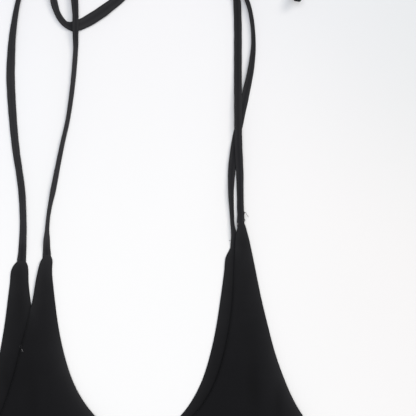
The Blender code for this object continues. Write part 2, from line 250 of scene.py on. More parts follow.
RIPPLE_END = (0.08, 0.17)  # the ripples fade out here, towards the peaks
RIPPLES = [
    Wave(12, 0.083, 0.6, 0.00022),
    Wave(74, 0.121, 2.1, 0.00030),
    Wave(138, 0.059, 4.0, 0.00014),
    Wave(101, 0.037, 1.3, 0.00007),
    Wave(33, 0.029, 5.2, 0.00005),
]

# Ties: steps of their curve from point to point, and the distance between their rings
TIE_STEPS = 12
RING_STEP = 0.0011
# A tie's section, from -1 to 1 each way: points across its flat faces, how wide they are,
# the crown and the dent of the upper one, and the groove of the seam in the lower one
TUBE_POINTS = 9
TUBE_FLAT = 0.80
TUBE_CROWN = 0.12
TUBE_DENT = 0.94
TUBE_SEAM = {3: 0.06, 4: 0.40, 5: 0.06}
# By distance along a tie: where it leaves the cloth of its peak, and where it thickens from
# this share of its wall
PEAK_LEAVING = (0.003, 0.013)
PEAK_THICKENING = (0.002, 0.007)
PEAK_WALL = 0.55
# Its cut end closes over this length, to these shares of its width and its wall
CUT_LENGTH = 0.0024
CUT_WIDTH = 0.66
CUT_WALL = 0.35
# A tie is a turned tube, so where it is narrow it thickens by this share of what it loses
NARROW_WALL = 0.9
# How its roll, in degrees, and its width sway, and over what length along it
ROLL_SWAY = 1.6
ROLL_LENGTH = 0.0052
ROLL_PHASES = {"left": 12, "right": 15}
WIDTH_SWAY = 0.012
WIDTH_LENGTH = 0.0021

SHEEN_RAMP_LENGTH = 0.012  # over which a tie's painted sheen sets in and ends
# Stretches of the ties with painted sheen, where they roll towards the light
TIE_SHEEN_STRETCHES = {
    ("back", "left"): [SheenStretch(0.0115, 0.248, 1.0)],
    ("front", "left"): [SheenStretch(0.0068, 0.169, 1.5), SheenStretch(0.300, 0.420, 0.6)],
}

# Each tie from inside its peak to its knot. A point is X, Y, the roll in degrees that lifts
# its right-hand edge, seen along its way, its lift, and its width as a share of the tie's
TIES = {
    ("back", "left"): [
        (-0.0980, 0.1965, 0, 0.0, 1.06), (-0.0979, 0.2007, 4, 0.0, 1.10),
        (-0.0973, 0.2074, 8, 0.0, 1.01), (-0.0968, 0.2170, 11, 0.0, 0.93),
        (-0.0965, 0.2266, 12, 0.0, 0.87), (-0.0966, 0.2362, 13, 0.0, 0.86),
        (-0.0976, 0.2554, 12, 0.0, 0.88), (-0.1001, 0.2746, 10, 0.0, 0.87),
        (-0.1019, 0.2860, 8, 0.0, 0.90), (-0.1047, 0.3130, 5, 0.0, 0.97),
        (-0.1066, 0.3466, 2, 0.0, 1.05), (-0.1063, 0.3610, 5, 0.0, 1.01),
        (-0.1050, 0.3802, 20, 0.0, 0.91), (-0.1022, 0.3994, 28, 0.0, 0.74),
        (-0.1001, 0.4090, 30, 0.0006, 0.69), (-0.0955, 0.4240, 32, 0.0012, 0.72),
        (-0.0862, 0.4390, 34, 0.0016, 0.68), (-0.0792, 0.4468, 36, 0.0018, 0.64),
        (-0.0780, 0.4521, 36, 0.0020, 0.62),
    ],
    ("front", "left"): [
        (-0.0779, 0.2012, -2, 0.0003, 1.00), (-0.0777, 0.2057, -6, 0.0002, 1.00),
        (-0.0778, 0.2110, -12, 0.0, 0.90), (-0.0777, 0.2170, -20, 0.0, 0.80),
        (-0.0773, 0.2266, -25, 0.0, 0.51), (-0.0764, 0.2362, -25, 0.0, 0.47),
        (-0.0748, 0.2458, -25, 0.0, 0.53), (-0.0728, 0.2554, -25, 0.0, 0.69),
        (-0.0709, 0.2650, -25, 0.0, 0.69), (-0.0691, 0.2746, -25, 0.0, 0.63),
        (-0.0652, 0.2938, -25, 0.0, 0.57), (-0.0609, 0.3130, -25, 0.0, 0.54),
        (-0.0580, 0.3322, -25, 0.0, 0.58), (-0.0559, 0.3514, -25, 0.0, 0.61),
        (-0.0545, 0.3706, -25, 0.0006, 0.63), (-0.0545, 0.3802, -25, 0.0018, 0.73),
        (-0.0545, 0.3866, -24, 0.0026, 0.78), (-0.0545, 0.3970, -24, 0.0027, 0.78),
        (-0.0549, 0.4042, -22, 0.0024, 0.85), (-0.0553, 0.4090, -20, 0.0022, 0.92),
        (-0.0572, 0.4270, -26, 0.0018, 0.84), (-0.0625, 0.4400, -30, 0.0018, 0.70),
        (-0.0656, 0.4470, -34, 0.0018, 0.64), (-0.0662, 0.4521, -40, 0.0019, 0.62),
    ],
    ("front", "right"): [
        (0.0777, 0.2266, 2, 0.0024, 0.94), (0.0772, 0.2314, 6, 0.0021, 0.91),
        (0.0774, 0.2362, 14, 0.0013, 0.88), (0.0772, 0.2410, 18, 0.0008, 0.86),
        (0.0769, 0.2554, 18, 0.0004, 0.86), (0.0766, 0.2698, 12, 0.0014, 0.92),
        (0.0759, 0.2840, 8, 0.0024, 0.95), (0.0754, 0.2960, 8, 0.0027, 0.95),
        (0.0752, 0.3130, 8, 0.0027, 0.95), (0.0751, 0.3290, 9, 0.0023, 0.95),
        (0.0751, 0.3450, 10, 0.0010, 0.96), (0.0751, 0.3650, 10, 0.0004, 0.96),
        (0.0751, 0.3850, 10, 0.0003, 0.96), (0.0748, 0.3994, 12, 0.0006, 0.95),
        (0.0743, 0.4090, 18, 0.0012, 0.95), (0.0735, 0.4130, 30, 0.0016, 0.82),
        (0.0728, 0.4165, 38, 0.0018, 0.66),
    ],
    ("back", "right"): [
        (0.0722, 0.2072, 0, 0.0, 0.98), (0.0723, 0.2117, -2, 0.0, 1.00),
        (0.0724, 0.2170, -8, 0.0, 0.92), (0.0719, 0.2218, -18, 0.0, 0.72),
        (0.0712, 0.2266, -25, 0.0, 0.57), (0.0706, 0.2314, -25, 0.0, 0.50),
        (0.0704, 0.2362, -25, 0.0, 0.52), (0.0699, 0.2458, -25, 0.0, 0.63),
        (0.0696, 0.2554, -25, 0.0, 0.76), (0.0698, 0.2650, -18, 0.0, 0.83),
        (0.0700, 0.2698, -14, 0.0, 0.90), (0.0709, 0.2800, -12, 0.0, 0.95),
        (0.0721, 0.2890, -10, 0.0, 0.95), (0.0738, 0.2990, -9, 0.0, 0.95),
        (0.0763, 0.3098, -9, 0.0, 0.95), (0.0775, 0.3160, -9, 0.0, 0.95),
        (0.0806, 0.3302, -14, 0.0, 0.95), (0.0820, 0.3370, -18, 0.0, 0.94),
        (0.0831, 0.3418, -20, 0.0, 0.91), (0.0851, 0.3514, -24, 0.0, 0.85),
        (0.0865, 0.3610, -25, 0.0, 0.75), (0.0874, 0.3706, -25, 0.0, 0.61),
        (0.0874, 0.3802, -25, 0.0002, 0.52), (0.0866, 0.3898, -25, 0.0006, 0.50),
        (0.0850, 0.3994, -25, 0.0010, 0.51), (0.0837, 0.4042, -25, 0.0012, 0.53),
        (0.0820, 0.4090, -25, 0.0014, 0.55), (0.0801, 0.4134, -28, 0.0016, 0.59),
        (0.0788, 0.4170, -34, 0.0018, 0.60),
    ],
}

# Where a tie turns back inside its knot; the others run straight through
KNOT_TURNS = {
    ("front", "left"): [
        (-0.0667, 0.4572, -62, 0.0018, 0.62), (-0.0691, 0.4606, -91, 0.0017, 0.62),
        (-0.0716, 0.4572, -120, 0.0018, 0.62),
    ],
}

# Each tie's loose end, from its knot to its cut
TAILS = {
    ("front", "left"): [
        (-0.0720, 0.4521, -144, 0.0018, 0.64), (-0.0722, 0.4470, -148, 0.0018, 0.70),
        (-0.0740, 0.4330, -152, 0.0016, 0.80), (-0.0741, 0.4202, -156, 0.0014, 0.88),
        (-0.0721, 0.4087, -160, 0.0008, 0.86), (-0.0710, 0.4039, -160, 0.0005, 0.85),
        (-0.0694, 0.3991, -162, 0.0003, 0.76), (-0.0670, 0.3944, -166, 0.0, 0.76),
        (-0.0627, 0.3896, -170, 0.0, 0.80), (-0.0588, 0.3881, -172, 0.0, 1.08),
        (-0.0568, 0.3879, -173, 0.0, 1.28), (-0.0532, 0.3885, -174, 0.0, 1.37),
        (-0.0484, 0.3903, -174, 0.0, 1.38), (-0.0406, 0.3947, -174, 0.0, 1.44),
        (-0.0334, 0.3994, -174, 0.0, 1.44), (-0.0271, 0.4041, -174, 0.0, 1.36),
        (-0.0209, 0.4089, -174, 0.0, 1.26), (-0.0150, 0.4141, -174, 0.0, 1.18),
        (-0.0102, 0.4185, -174, 0.0, 1.12),
    ],
    ("back", "left"): [
        (-0.0745, 0.4651, 34, 0.0024, 0.62), (-0.0748, 0.4700, 30, 0.0018, 0.72),
        (-0.0790, 0.4820, 22, 0.0008, 0.88), (-0.0900, 0.4930, 14, 0.0, 0.96),
        (-0.1080, 0.5010, 10, 0.0, 1.00), (-0.1290, 0.5000, 12, 0.0, 1.02),
        (-0.1480, 0.4910, 20, 0.0, 0.98), (-0.1640, 0.4760, 26, 0.0, 0.96),
    ],
    ("front", "right"): [
        (0.0721, 0.4291, -34, 0.0024, 0.62), (0.0718, 0.4340, -30, 0.0018, 0.72),
        (0.0686, 0.4480, -22, 0.0008, 0.90), (0.0600, 0.4640, -14, 0.0, 0.98),
        (0.0440, 0.4810, -10, 0.0, 1.00), (0.0230, 0.4890, -12, 0.0, 1.02),
        (-0.0030, 0.4890, -16, 0.0, 0.98), (-0.0280, 0.4960, -20, 0.0, 0.95),
        (-0.0460, 0.5120, -14, 0.0, 1.00),
    ],
    ("back", "right"): [
        (0.0783, 0.4291, 34, 0.0024, 0.62), (0.0786, 0.4340, 30, 0.0018, 0.72),
        (0.0824, 0.4500, 26, 0.0008, 0.88), (0.0920, 0.4700, 18, 0.0, 0.96),
        (0.1080, 0.4860, 12, 0.0, 1.00), (0.1240, 0.4840, 12, 0.0, 1.00),
        (0.1320, 0.4700, 14, 0.0, 0.98), (0.1313, 0.4500, 16, 0.0006, 0.96),
        (0.1253, 0.4262, 14, 0.0044, 0.98), (0.1229, 0.4140, 10, 0.0076, 1.00),
        (0.1220, 0.4066, 8, 0.0094, 1.00),
    ],
}

# Middle of each knot, on the surface, and the bundle at its core: half its sizes, its rings
# and sides, and the square of its size at its tips
KNOTS = {"left": (-0.0720, 0.4586), "right": (0.0752, 0.4226)}
KNOT_MIDDLE_HEIGHT = 0.0044
CORE_SIZES = (0.0062, 0.0050, 0.0028)
CORE_RINGS = 17
CORE_SIDES = 24
CORE_TIP = 0.0004
# The bands about it, and by what shares they bulge, ripple, widen and thicken on the way round
BAND_RINGS = 72
BAND_WALL = 0.0019
BAND_SWAY = 0.0006
BAND_BULGE = 0.05
BAND_RIPPLE = 0.02
BAND_WIDENING = 0.10
BAND_THICKENING = 0.12
# A band's section, from -1 to 1 each way: points across its upper face, how wide and how
# crowned it is, its two creases by place, width and depth, and its underside
BAND_POINTS = 15
BAND_FLAT = 0.84
BAND_CROWN = 0.25
BAND_CREASES = ((0.3, 0.14, 0.30), (-0.32, 0.12, 0.22))
BAND_UNDERSIDE = ((-1.0, 0.1), (-0.86, -0.9), (0.86, -0.9), (1.0, 0.1))
KNOT_WRAPS = {
    "left": [Wrap(0.0072, 0.0030, 0.0024, 19, 0.4), Wrap(0.0066, 0.0026, 0.0022, -22, 2.0)],
    "right": [Wrap(0.0074, 0.0030, 0.0023, -17, 1.1), Wrap(0.0064, 0.0025, 0.0024, 24, 3.4)],
}

# Stitches: the row's distance from the side seams, each stitch's radius, how far it dips
# and rises, its share of the step, and the spread of its start, as a share, and of its line.
# They lie at the height that the cloth has this far from an edge
STITCH_MARGIN = 0.004
STITCH_LEVEL = 0.004
STITCH_RADIUS = 0.00017
STITCH_DIP = 0.00012
STITCH_RISE = 0.00012
STITCH_POINTS = 6
STITCH_ARCH = 0.7  # a power below 1, so that it turns down steeply at its ends
STITCH_SHARES = (0.70, 0.78)
STITCH_SPREAD = 0.03
LINE_SPREAD = 0.00006

# Loose threads at the peaks, seen from above: radius, then places on the way along and their
# height above the surface
LOOSE_THREADS = [
    (0.00014, [
        (0.0797, 0.2400, 0.0030), (0.0805, 0.2392, 0.0031), (0.0812, 0.2388, 0.0029),
        (0.0818, 0.2380, 0.0026), (0.0823, 0.2371, 0.0023), (0.0829, 0.2363, 0.0021),
        (0.0833, 0.2354, 0.0018),
    ]),
    (0.00028, [
        (0.0795, 0.2395, 0.0030), (0.0801, 0.2391, 0.0032), (0.0804, 0.2385, 0.0032),
        (0.0798, 0.2378, 0.0031), (0.0792, 0.2364, 0.0030), (0.0796, 0.2342, 0.0030),
        (0.0804, 0.2336, 0.0032), (0.0807, 0.2328, 0.0033), (0.0803, 0.2320, 0.0032),
        (0.0794, 0.2314, 0.0030),
    ]),
    (0.00012, [
        (0.0706, 0.2166, 0.0012), (0.0696, 0.2165, 0.0014), (0.0688, 0.2167, 0.0012),
        (0.0681, 0.2163, 0.0009),
    ]),
]
LOOSE_STEPS = 5
THREAD_SIDES = 6

# Pale flecks of lint on the front, as two ends and a radius, and a dark loop beside one
LINT = [
    ((-0.0976, 0.1298), (-0.0966, 0.1282), 0.00006),
    ((0.0746, 0.2301), (0.0750, 0.2296), 0.00021),
]
LINT_POINTS = 9
LINT_SWAY = 0.00012
LOOP_MIDDLE = (-0.0983, 0.1322)
LOOP_REACH = 0.0009
LOOP_UNEVEN = 0.15
LOOP_RADIUS = 0.00016  # of its thread
LOOP_CLEARANCE = 0.00022  # of the middle of its thread from the cloth
LOOP_POINTS = 24


class TankTopSettings(bpy.types.PropertyGroup):
    """Sizes and colours that a user would change."""

    cloth_wall: bpy.props.FloatProperty(
        name="Cloth wall",
        description="Thickness of a panel with the facing that is turned inside it",
        default=0.0012, min=0.0006, max=0.003, precision=4, unit="LENGTH",
    )
    tie_width: bpy.props.FloatProperty(
        name="Tie width",
        description="Width of a tie lying flat",
        default=0.0066, min=0.003, max=0.012, precision=4, unit="LENGTH",
    )
    tie_wall: bpy.props.FloatProperty(
        name="Tie thickness",
        description="Thickness of a tie pressed flat",
        default=0.0012, min=0.0006, max=0.003, precision=4, unit="LENGTH",
    )
    thread_pitch: bpy.props.FloatProperty(
        name="Thread pitch",
        description="Distance between the threads of the weave",
        default=0.00042, min=0.0002, max=0.001, precision=5, unit="LENGTH",
    )
    hem_depth: bpy.props.FloatProperty(
        name="Hem depth",
        description="Distance of the hem's stitches from its edge",
        default=0.018, min=0.005, max=0.04, precision=4, unit="LENGTH",
    )
    stitch_length: bpy.props.FloatProperty(
        name="Stitch length",
        description="Distance from one stitch to the next",
        default=0.0027, min=0.0015, max=0.005, precision=4, unit="LENGTH",
    )
    cloth_colour: bpy.props.FloatVectorProperty(
        name="Cloth colour",
        description="Colour of the dyed cloth of the panels",
        default=(0.0048, 0.0048, 0.0059, 1.0), min=0.0, max=1.0, size=4, subtype="COLOR",
    )
    # Painted light: this paler colour is mixed into the panels near their edges and towards their
    # peaks
    edge_light_colour: bpy.props.FloatVectorProperty(
        name="Edge colour",
        description="Colour of the cloth near its turned edges, where it is rubbed",
        default=(0.0222, 0.0222, 0.0240, 1.0), min=0.0, max=1.0, size=4, subtype="COLOR",
    )
    tie_colour: bpy.props.FloatVectorProperty(
        name="Tie colour",
        description="Colour of the ties along their middle",
        default=(0.0152, 0.0151, 0.0172, 1.0), min=0.0, max=1.0, size=4, subtype="COLOR",
    )
    # Painted light: this paler colour is mixed in towards the ties' edges, and painted shade
    # leaves their dented middle darker
    tie_edge_light_colour: bpy.props.FloatVectorProperty(
        name="Tie edge colour",
        description="Colour of the ties towards their edges, where they are rubbed",
        default=(0.0232, 0.0230, 0.0250, 1.0), min=0.0, max=1.0, size=4, subtype="COLOR",
    )
    surface_colour: bpy.props.FloatVectorProperty(
        name="Surface colour",
        description="Colour of the surface that the top lies on",
        default=(0.841, 0.840, 0.842, 1.0), min=0.0, max=1.0, size=4, subtype="COLOR",
    )


def settings():
    """The scene's tank top settings."""
    return bpy.context.scene.tank_top


# Curves and outlines


def lengths(rows):
    """How long each row is, as a vector."""
    return np.linalg.norm(rows, axis=1)


def unit(rows):
    """The rows as vectors of length 1."""
    return rows / lengths(rows)[:, None]


def distances(rows):
    """How far along a line each of its points lies."""
    return np.concatenate([[0.0], np.cumsum(lengths(np.diff(rows, axis=0)))])


def rightward(rows):
    """The level directions square to a line's way, to its right, at each of its points."""
    ways = unit(np.gradient(rows, axis=0))
    return np.stack([ways[:, 1], -ways[:, 0]], axis=1)


def smooth(rows, steps):
    """Rows of a smooth curve through the given ones, with so many steps to a stretch.

    The first two columns are its place, and any others change smoothly with them.
    """
    rows = np.array(rows, dtype=float)
    chords = lengths(np.diff(rows[:, :2], axis=0))
    time = np.concatenate([[0.0], np.cumsum(np.sqrt(chords))])
    slopes = np.gradient(rows, time, axis=0)
    made = [rows[0]]
    for i in range(len(rows) - 1):
        span = time[i + 1] - time[i]
        for s in np.linspace(0, 1, steps + 1)[1:]:
            made.append(
                (2 * s**3 - 3 * s**2 + 1) * rows[i]
                + (s**3 - 2 * s**2 + s) * span * slopes[i]
                + (3 * s**2 - 2 * s**3) * rows[i + 1]
                + (s**3 - s**2) * span * slopes[i + 1]
            )
    return np.array(made)


def evenly(rows, step):
    """The rows of a curve at even distances, close to step, along its first two columns."""
    along = distances(rows[:, :2])
    count = max(2, round(along[-1] / step) + 1)
    places = np.linspace(0, along[-1], count)
    return np.stack([np.interp(places, along, column) for column in rows.T], axis=1)


def ease(value, low, high):
    """0 below low, 1 above high, and a soft step between them."""
    s = np.clip((value - low) / (high - low), 0, 1)
    return s * s * (3 - 2 * s)


def underside_edge(node):
    """The edge all round a panel's underside, read from its solid, running anticlockwise."""
    cloth = bmesh.new()
    cloth.from_mesh(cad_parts[node].data)
    bmesh.ops.remove_doubles(cloth, verts=cloth.verts, dist=MERGE_DISTANCE)
    cloth.normal_update()
    facing_down = {f for f in cloth.faces if f.normal.z < DOWNWARD}
    next_vert = {}
    for face in facing_down:
        for loop in face.loops:
            if not any(f in facing_down for f in loop.edge.link_faces if f is not face):
                next_vert[loop.link_loop_next.vert] = loop.vert
    start = min(next_vert, key=lambda v: v.co.x + v.co.y)
    loop = [start]
    while next_vert[loop[-1]] is not start:
        loop.append(next_vert[loop[-1]])
    points = np.array([v.co[:2] for v in loop])
    cloth.free()
    return points


def rounded_outline(loop):
    """A panel's outline as a fine smooth curve, with its corners a little rounded."""
    before = loop - np.roll(loop, 1, axis=0)
    after = np.roll(loop, -1, axis=0) - loop
    turn = np.arctan2(
        before[:, 0] * after[:, 1] - before[:, 1] * after[:, 0], (before * after).sum(axis=1)
    )
    corners = np.flatnonzero(np.abs(np.degrees(turn)) > CORNER_TURN)
    closed = np.concatenate([loop, loop[: corners[0] + 1]])
    pieces = []
    for start, end in zip(corners, [*corners[1:], corners[0] + len(loop)]):
        stretch = closed[start : end + 1]
        if len(stretch) > 2:
            stretch = smooth(stretch, OUTLINE_STEPS)
        pieces.append(evenly(stretch, EDGE_STEP)[:-1])
    fine = np.concatenate(pieces)
    return (np.roll(fine, 1, axis=0) + 2 * fine + np.roll(fine, -1, axis=0)) / 4


def inside(points, loop):
    """Which points lie within a closed outline."""
    within = np.zeros(len(points), dtype=bool)
    for (x0, y0), (x1, y1) in zip(loop, np.roll(loop, -1, axis=0)):
        if y0 == y1:
            continue
        crosses = (y0 > points[:, 1]) != (y1 > points[:, 1])
        at_x = x0 + (points[:, 1] - y0) / (y1 - y0) * (x1 - x0)
        within ^= crosses & (at_x > points[:, 0])
    return within


def nearest(places, points):
    """Which place is nearest to each point, and how far away it is."""
    tree = KDTree(len(places))
    for i, (x, y) in enumerate(places):
        tree.insert((x, y, 0.0), i)
    tree.balance()
    found = [tree.find((x, y, 0.0)) for x, y in points]
    return np.array([index for _, index, _ in found]), np.array([gap for *_, gap in found])


def distance_to(loop, points):
    """How far each point lies from a closed outline."""
    closest, _ = nearest(loop, points)
    best = np.full(len(points), np.inf)
    for step in (-1, 0):
        start = loop[(closest + step) % len(loop)]
        way = loop[(closest + step + 1) % len(loop)] - start
        share = np.clip(((points - start) * way).sum(axis=1) / (way**2).sum(axis=1), 0, 1)
        best = np.minimum(best, lengths(points - start - share[:, None] * way))
    return best


def depth_in(loop, points):
    """How deep each point lies inside a closed outline, or below 0 how far outside it."""
    away = distance_to(loop, points)
    return np.where(inside(points, loop), away, -away)


def distance_outside(loop, points):
    """How far each point lies outside a closed outline, or 0 where it is on or in it."""
    return np.maximum(-depth_in(loop, points), 0.0)


# Cloth panels


def panel_points(outline):
    """Places for a panel's points: its outline, rows along it and a lattice between them."""
    way = unit(np.roll(outline, -1, axis=0) - np.roll(outline, 1, axis=0))
    inward = np.stack([-way[:, 1], way[:, 0]], axis=1)
    places = [outline]
    for depth in EDGE_ROWS:
        row = outline + inward * depth
        row = row[inside(row, outline)]
        places.append(row[distance_to(outline, row) > ROW_CLEARANCE * depth])
    low, high = outline.min(axis=0), outline.max(axis=0)
    row_step = LATTICE_STEP * math.sqrt(3) / 2
    lattice = []
    for j, y in enumerate(np.arange(low[1], high[1], row_step)):
        shift = LATTICE_STEP / 2 * (j % 2)
        lattice.extend((x + shift, y) for x in np.arange(low[0], high[0], LATTICE_STEP))
    lattice = np.array(lattice)
    lattice = lattice[inside(lattice, outline)]
    clear = EDGE_ROWS[-1] + LATTICE_CLEARANCE * LATTICE_STEP
    places.append(lattice[distance_to(outline, lattice) > clear])
    return np.concatenate(places)


def crease_heights(layer, x, y):
    """Heights that a panel's ridges, and its troughs, add at places."""
    ridges, troughs = np.zeros_like(x), np.zeros_like(x)
    for crease in CREASES[layer]:
        turn = math.radians(crease.heading)
        along = (x - crease.x) * math.cos(turn) + (y - crease.y) * math.sin(turn)
        across = (y - crease.y) * math.cos(turn) - (x - crease.x) * math.sin(turn)
        along = along / crease.half_length
        across = (across - crease.bend * along**2) / crease.half_width
        height = troughs if crease.height < 0 else ridges
        height += crease.height * np.exp(-(along**2) - across**2)
    return ridges, troughs


def ripple_height(x, y):
    """Height, never below 0, that the long ripples of laid cloth add at places."""
    height = np.zeros_like(x)
    for wave in RIPPLES:
        turn = math.radians(wave.heading)
        along = x * math.cos(turn) + y * math.sin(turn)
        height += wave.height * np.sin(2 * math.pi * along / wave.length + wave.phase)
    height += sum(wave.height for wave in RIPPLES)
    return height * (1 - ease(y, *RIPPLE_END))


def strength(spot, x, y):
    """How strongly a soft round spot is felt at places: 1 at its middle, 0 far from it."""
    return np.exp(-((np.hypot(x - spot.x, y - spot.y) / spot.reach) ** 2))


def edge_fullness(x, y, from_edge):
    """Extra thickness by a turned edge: a soft ridge over the turning, slightly puckered."""
    ridge = TURNING_HEIGHT * ease(from_edge, *TURNING_START) * (1 - ease(from_edge, *TURNING_END))
    fine, slow, second = PUCKER_LENGTHS
    wobble = np.sin(x / fine + PUCKER_SWAY * np.sin(y / slow))
    wobble += np.sin(y / second + PUCKER_PHASE)
    pucker = PUCKER_HEIGHT * wobble * (1 - ease(from_edge, *PUCKER_END))
    return ridge + pucker * ease(from_edge, *PUCKER_START)


def tie_outline(points, width):
    """The edge all round the place that a tie covers when it lies flat."""
    rows = smooth(points, steps=4)[:, :2]
    right = rightward(rows) * width / 2
    return np.concatenate([rows + right, (rows - right)[::-1]]) + (0, CHEST_Y)


def front_underside(points):
    """Height of the front's underside where it lies: on the back, its tie or the surface."""
    sizes = settings()
    from_back = distance_outside(underside_edge("back"), points)
    from_tie = distance_outside(tie_outline(TIES["back", "right"], sizes.tie_width), points)
    sink = SINK_DEPTH * ease(np.minimum(from_back, from_tie), *SINKING)
    rise = TIE_RISE * (1 - ease(from_tie, *TIE_RISING))
    return sizes.cloth_wall + SEAM_GAP - sink + rise


def hem_rise(x):
    """How far the hem has risen from its middle towards the side seams."""
    return HEM_RISE * (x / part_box("front")[1].x) ** 2


def hem_groove(points):
    """1 on the line of the hem's stitches and 0 away from it."""
    from_line = points[:, 1] - HEM_Y - settings().hem_depth - hem_rise(points[:, 0])
    return np.exp(-((from_line / GROOVE_WIDTH) ** 2))


def panel_heights(layer, points, from_edge):
    """Heights of a panel's middle, top and underside at places this far from its edge.

    The front's ridges and ripples lift it off what it lies on. The back has only troughs.
    """
    half_wall = settings().cloth_wall / 2
    x, y = points[:, 0], points[:, 1] - CHEST_Y
    roundness = np.sqrt(1 - (1 - np.clip(from_edge / half_wall, 0, 1)) ** 2)
    ridges, troughs = crease_heights(layer, x, y)
    middle = np.full(len(points), half_wall)
    if layer == "front":
        middle += front_underside(points) + ridges + ripple_height(x, y)
    groove = hem_groove(points)
    fullness = edge_fullness(x, y, from_edge) + troughs
    top = middle + roundness * (half_wall + fullness - GROOVE_OVER * groove)
    under = middle - roundness * (half_wall - GROOVE_UNDER * groove)
    return middle, top, under


def edge_light(distance):
    """How much painted light the cloth has at a distance from an edge, from 0 to 1."""
    near = EDGE_LIGHT_SHARE * np.exp(-distance / EDGE_LIGHT_REACH)
    return near + (1 - EDGE_LIGHT_SHARE) * np.exp(-distance / FADE_REACH)


def edge_shares(layer, points, outline, from_edge):
    """How much painted light a panel has near its edges, and how deep it lies in the painted
    shade of the crevice beside the edge of the front that lies over the back, where it has less
    painted light."""
    if layer == "back":
        from_front = distance_outside(underside_edge("front"), points)
        return BACK_EDGE_LIGHT * edge_light(from_edge), 1 - ease(from_front, *EDGE_SHADE)
    back = underside_edge("back")
    border = evenly(np.concatenate([outline, outline[:1]]), BORDER_STEP)
    _, from_bare = nearest(border[depth_in(back, border) < BARE_DEPTH], points)
    kept = 1 - PEAK_EDGE_LIGHT_LOSS * ease(points[:, 1] - CHEST_Y, *PEAK_NEARING)
    covered = ease(depth_in(back, points), *CREVICE_COVER)
    return edge_light(from_bare) * kept, (1 - ease(from_edge, *CREVICE)) * covered


def panel_shares(layer, points, outline, from_edge):
    """How much painted light a panel has, from 0 to 1, at its points, and how much painted shade.
    """
    x, y = points[:, 0], points[:, 1] - CHEST_Y
    ridges, troughs = crease_heights(layer, x, y)
    lit, painted_shade = edge_shares(layer, points, outline, from_edge)
    # Painted sheen on the ridges, and more or less painted light in spots
    lit += RIDGE_SHEEN * ridges / HIGHEST_RIDGE
    for spot in LIT_SPOTS[layer]:
        lit += spot.amount * strength(spot, x, y)
    # The painted shade beside the front's edge ends towards the peaks, and the troughs get
    # painted shade too
    painted_shade *= 1 - ease(y, *CREVICE_END)
    shade = np.clip(-troughs / DARKEST_TROUGH, 0, 1)
    return {"lit": lit, "painted_shade": np.maximum(painted_shade, shade)}


def new_piece(name, points, faces, shares, material):
    """One object of points and faces, with shares at its points, that rides on the body."""
    mesh = bpy.data.meshes.new(name)
    mesh.from_pydata(points, [], faces)
    for share, values in shares.items():
        mesh.attributes.new(share, "FLOAT", "POINT").data.foreach_set("value", values)
    mesh.shade_smooth()
    mesh.materials.append(material)
    piece = bpy.data.objects.new(name, mesh)
    bpy.context.collection.objects.link(piece)
    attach(piece, BODY)
    return piece


def panel_shell(layer, material):
    """A closed shell of cloth with a round edge, over the outline of a panel's solid."""
    outline = rounded_outline(underside_edge(layer))
    for spot in PEAK_SHIFTS[layer]:
        outline[:, 0] += spot.amount * strength(spot, outline[:, 0], outline[:, 1] - CHEST_Y)
    places = panel_points(outline)
    count = len(outline)
    rim = [(i, (i + 1) % count) for i in range(count)]
    vectors = [Vector(place) for place in places]
    points, _, faces, *_ = delaunay_2d_cdt(vectors, rim, [], 1, MESH_TOLERANCE)
    points = np.array(points)
    from_edge = distance_to(outline, points)
    middle, top, under = panel_heights(layer, points, from_edge)
    inner = from_edge > ON_OUTLINE
    under_index = np.arange(len(points))
    under_index[inner] = len(points) + np.arange(np.count_nonzero(inner))
    upper = np.column_stack([points, np.where(inner, top, middle)])
    lower = np.column_stack([points, under])[inner]
    turned = [[int(under_index[i]) for i in reversed(face)] for face in faces]
    shares = panel_shares(layer, points, outline, from_edge)
    shares = {name: np.concatenate([share, share[inner]]) for name, share in shares.items()}
    both = np.concatenate([upper, lower])
    shell = new_piece(f"{layer}_panel", both, [*faces, *turned], shares, material)
    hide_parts(layer)
    return shell


def flat_area(node):
    """Area of the cloth of one panel, lying flat."""
    loop = underside_edge(node)
    after = np.roll(loop, -1, axis=0)
    return abs((loop[:, 0] * after[:, 1] - loop[:, 1] * after[:, 0]).sum()) / 2


# Swept straps and threads


def strap_profile():
    """The section of a tie from -1 to 1 each way: a pressed tube with a seam beneath."""
    across = np.linspace(TUBE_FLAT, -TUBE_FLAT, TUBE_POINTS)
    top = [(a, 1.0 + TUBE_CROWN * (1 - (a / TUBE_FLAT) ** 2)) for a in across]
    top[TUBE_POINTS // 2] = (0.0, TUBE_DENT)
    turns = np.linspace(0, math.pi, 6)[1:-1]
    left = [(-TUBE_FLAT - (1 - TUBE_FLAT) * math.sin(t), math.cos(t)) for t in turns]
    bottom = [(a, -1.0 + TUBE_SEAM.get(i, 0.0)) for i, a in enumerate(across[::-1])]
    right = [(-a, -b) for a, b in left]
    return np.array(top + left + bottom + right)


def creased_profile():
    """The section of a knot's band, from -1 to 1 each way, gathered into two soft creases."""
    across = np.linspace(BAND_FLAT, -BAND_FLAT, BAND_POINTS)
    height = 1.0 - BAND_CROWN * across**2
    for place, width, depth in BAND_CREASES:
        height -= depth * np.exp(-(((across - place) / width) ** 2))
    return np.concatenate([np.column_stack([across, height]), BAND_UNDERSIDE])


def round_profile(sides):
    """The section of a thread, from -1 to 1 each way."""
    turns = np.linspace(0, 2 * math.pi, sides, endpoint=False)
    return np.stack([np.cos(turns), np.sin(turns)], axis=1)


class Shape(NamedTuple):
    """The points, faces and texture places of a shape, before it is put in a mesh, how far
    each point lies from the middle of its section, up to 1, and how much painted sheen it has
    there."""

    points: np.ndarray
    faces: list
    places: list
    from_middle: np.ndarray
    painted_sheen: np.ndarray


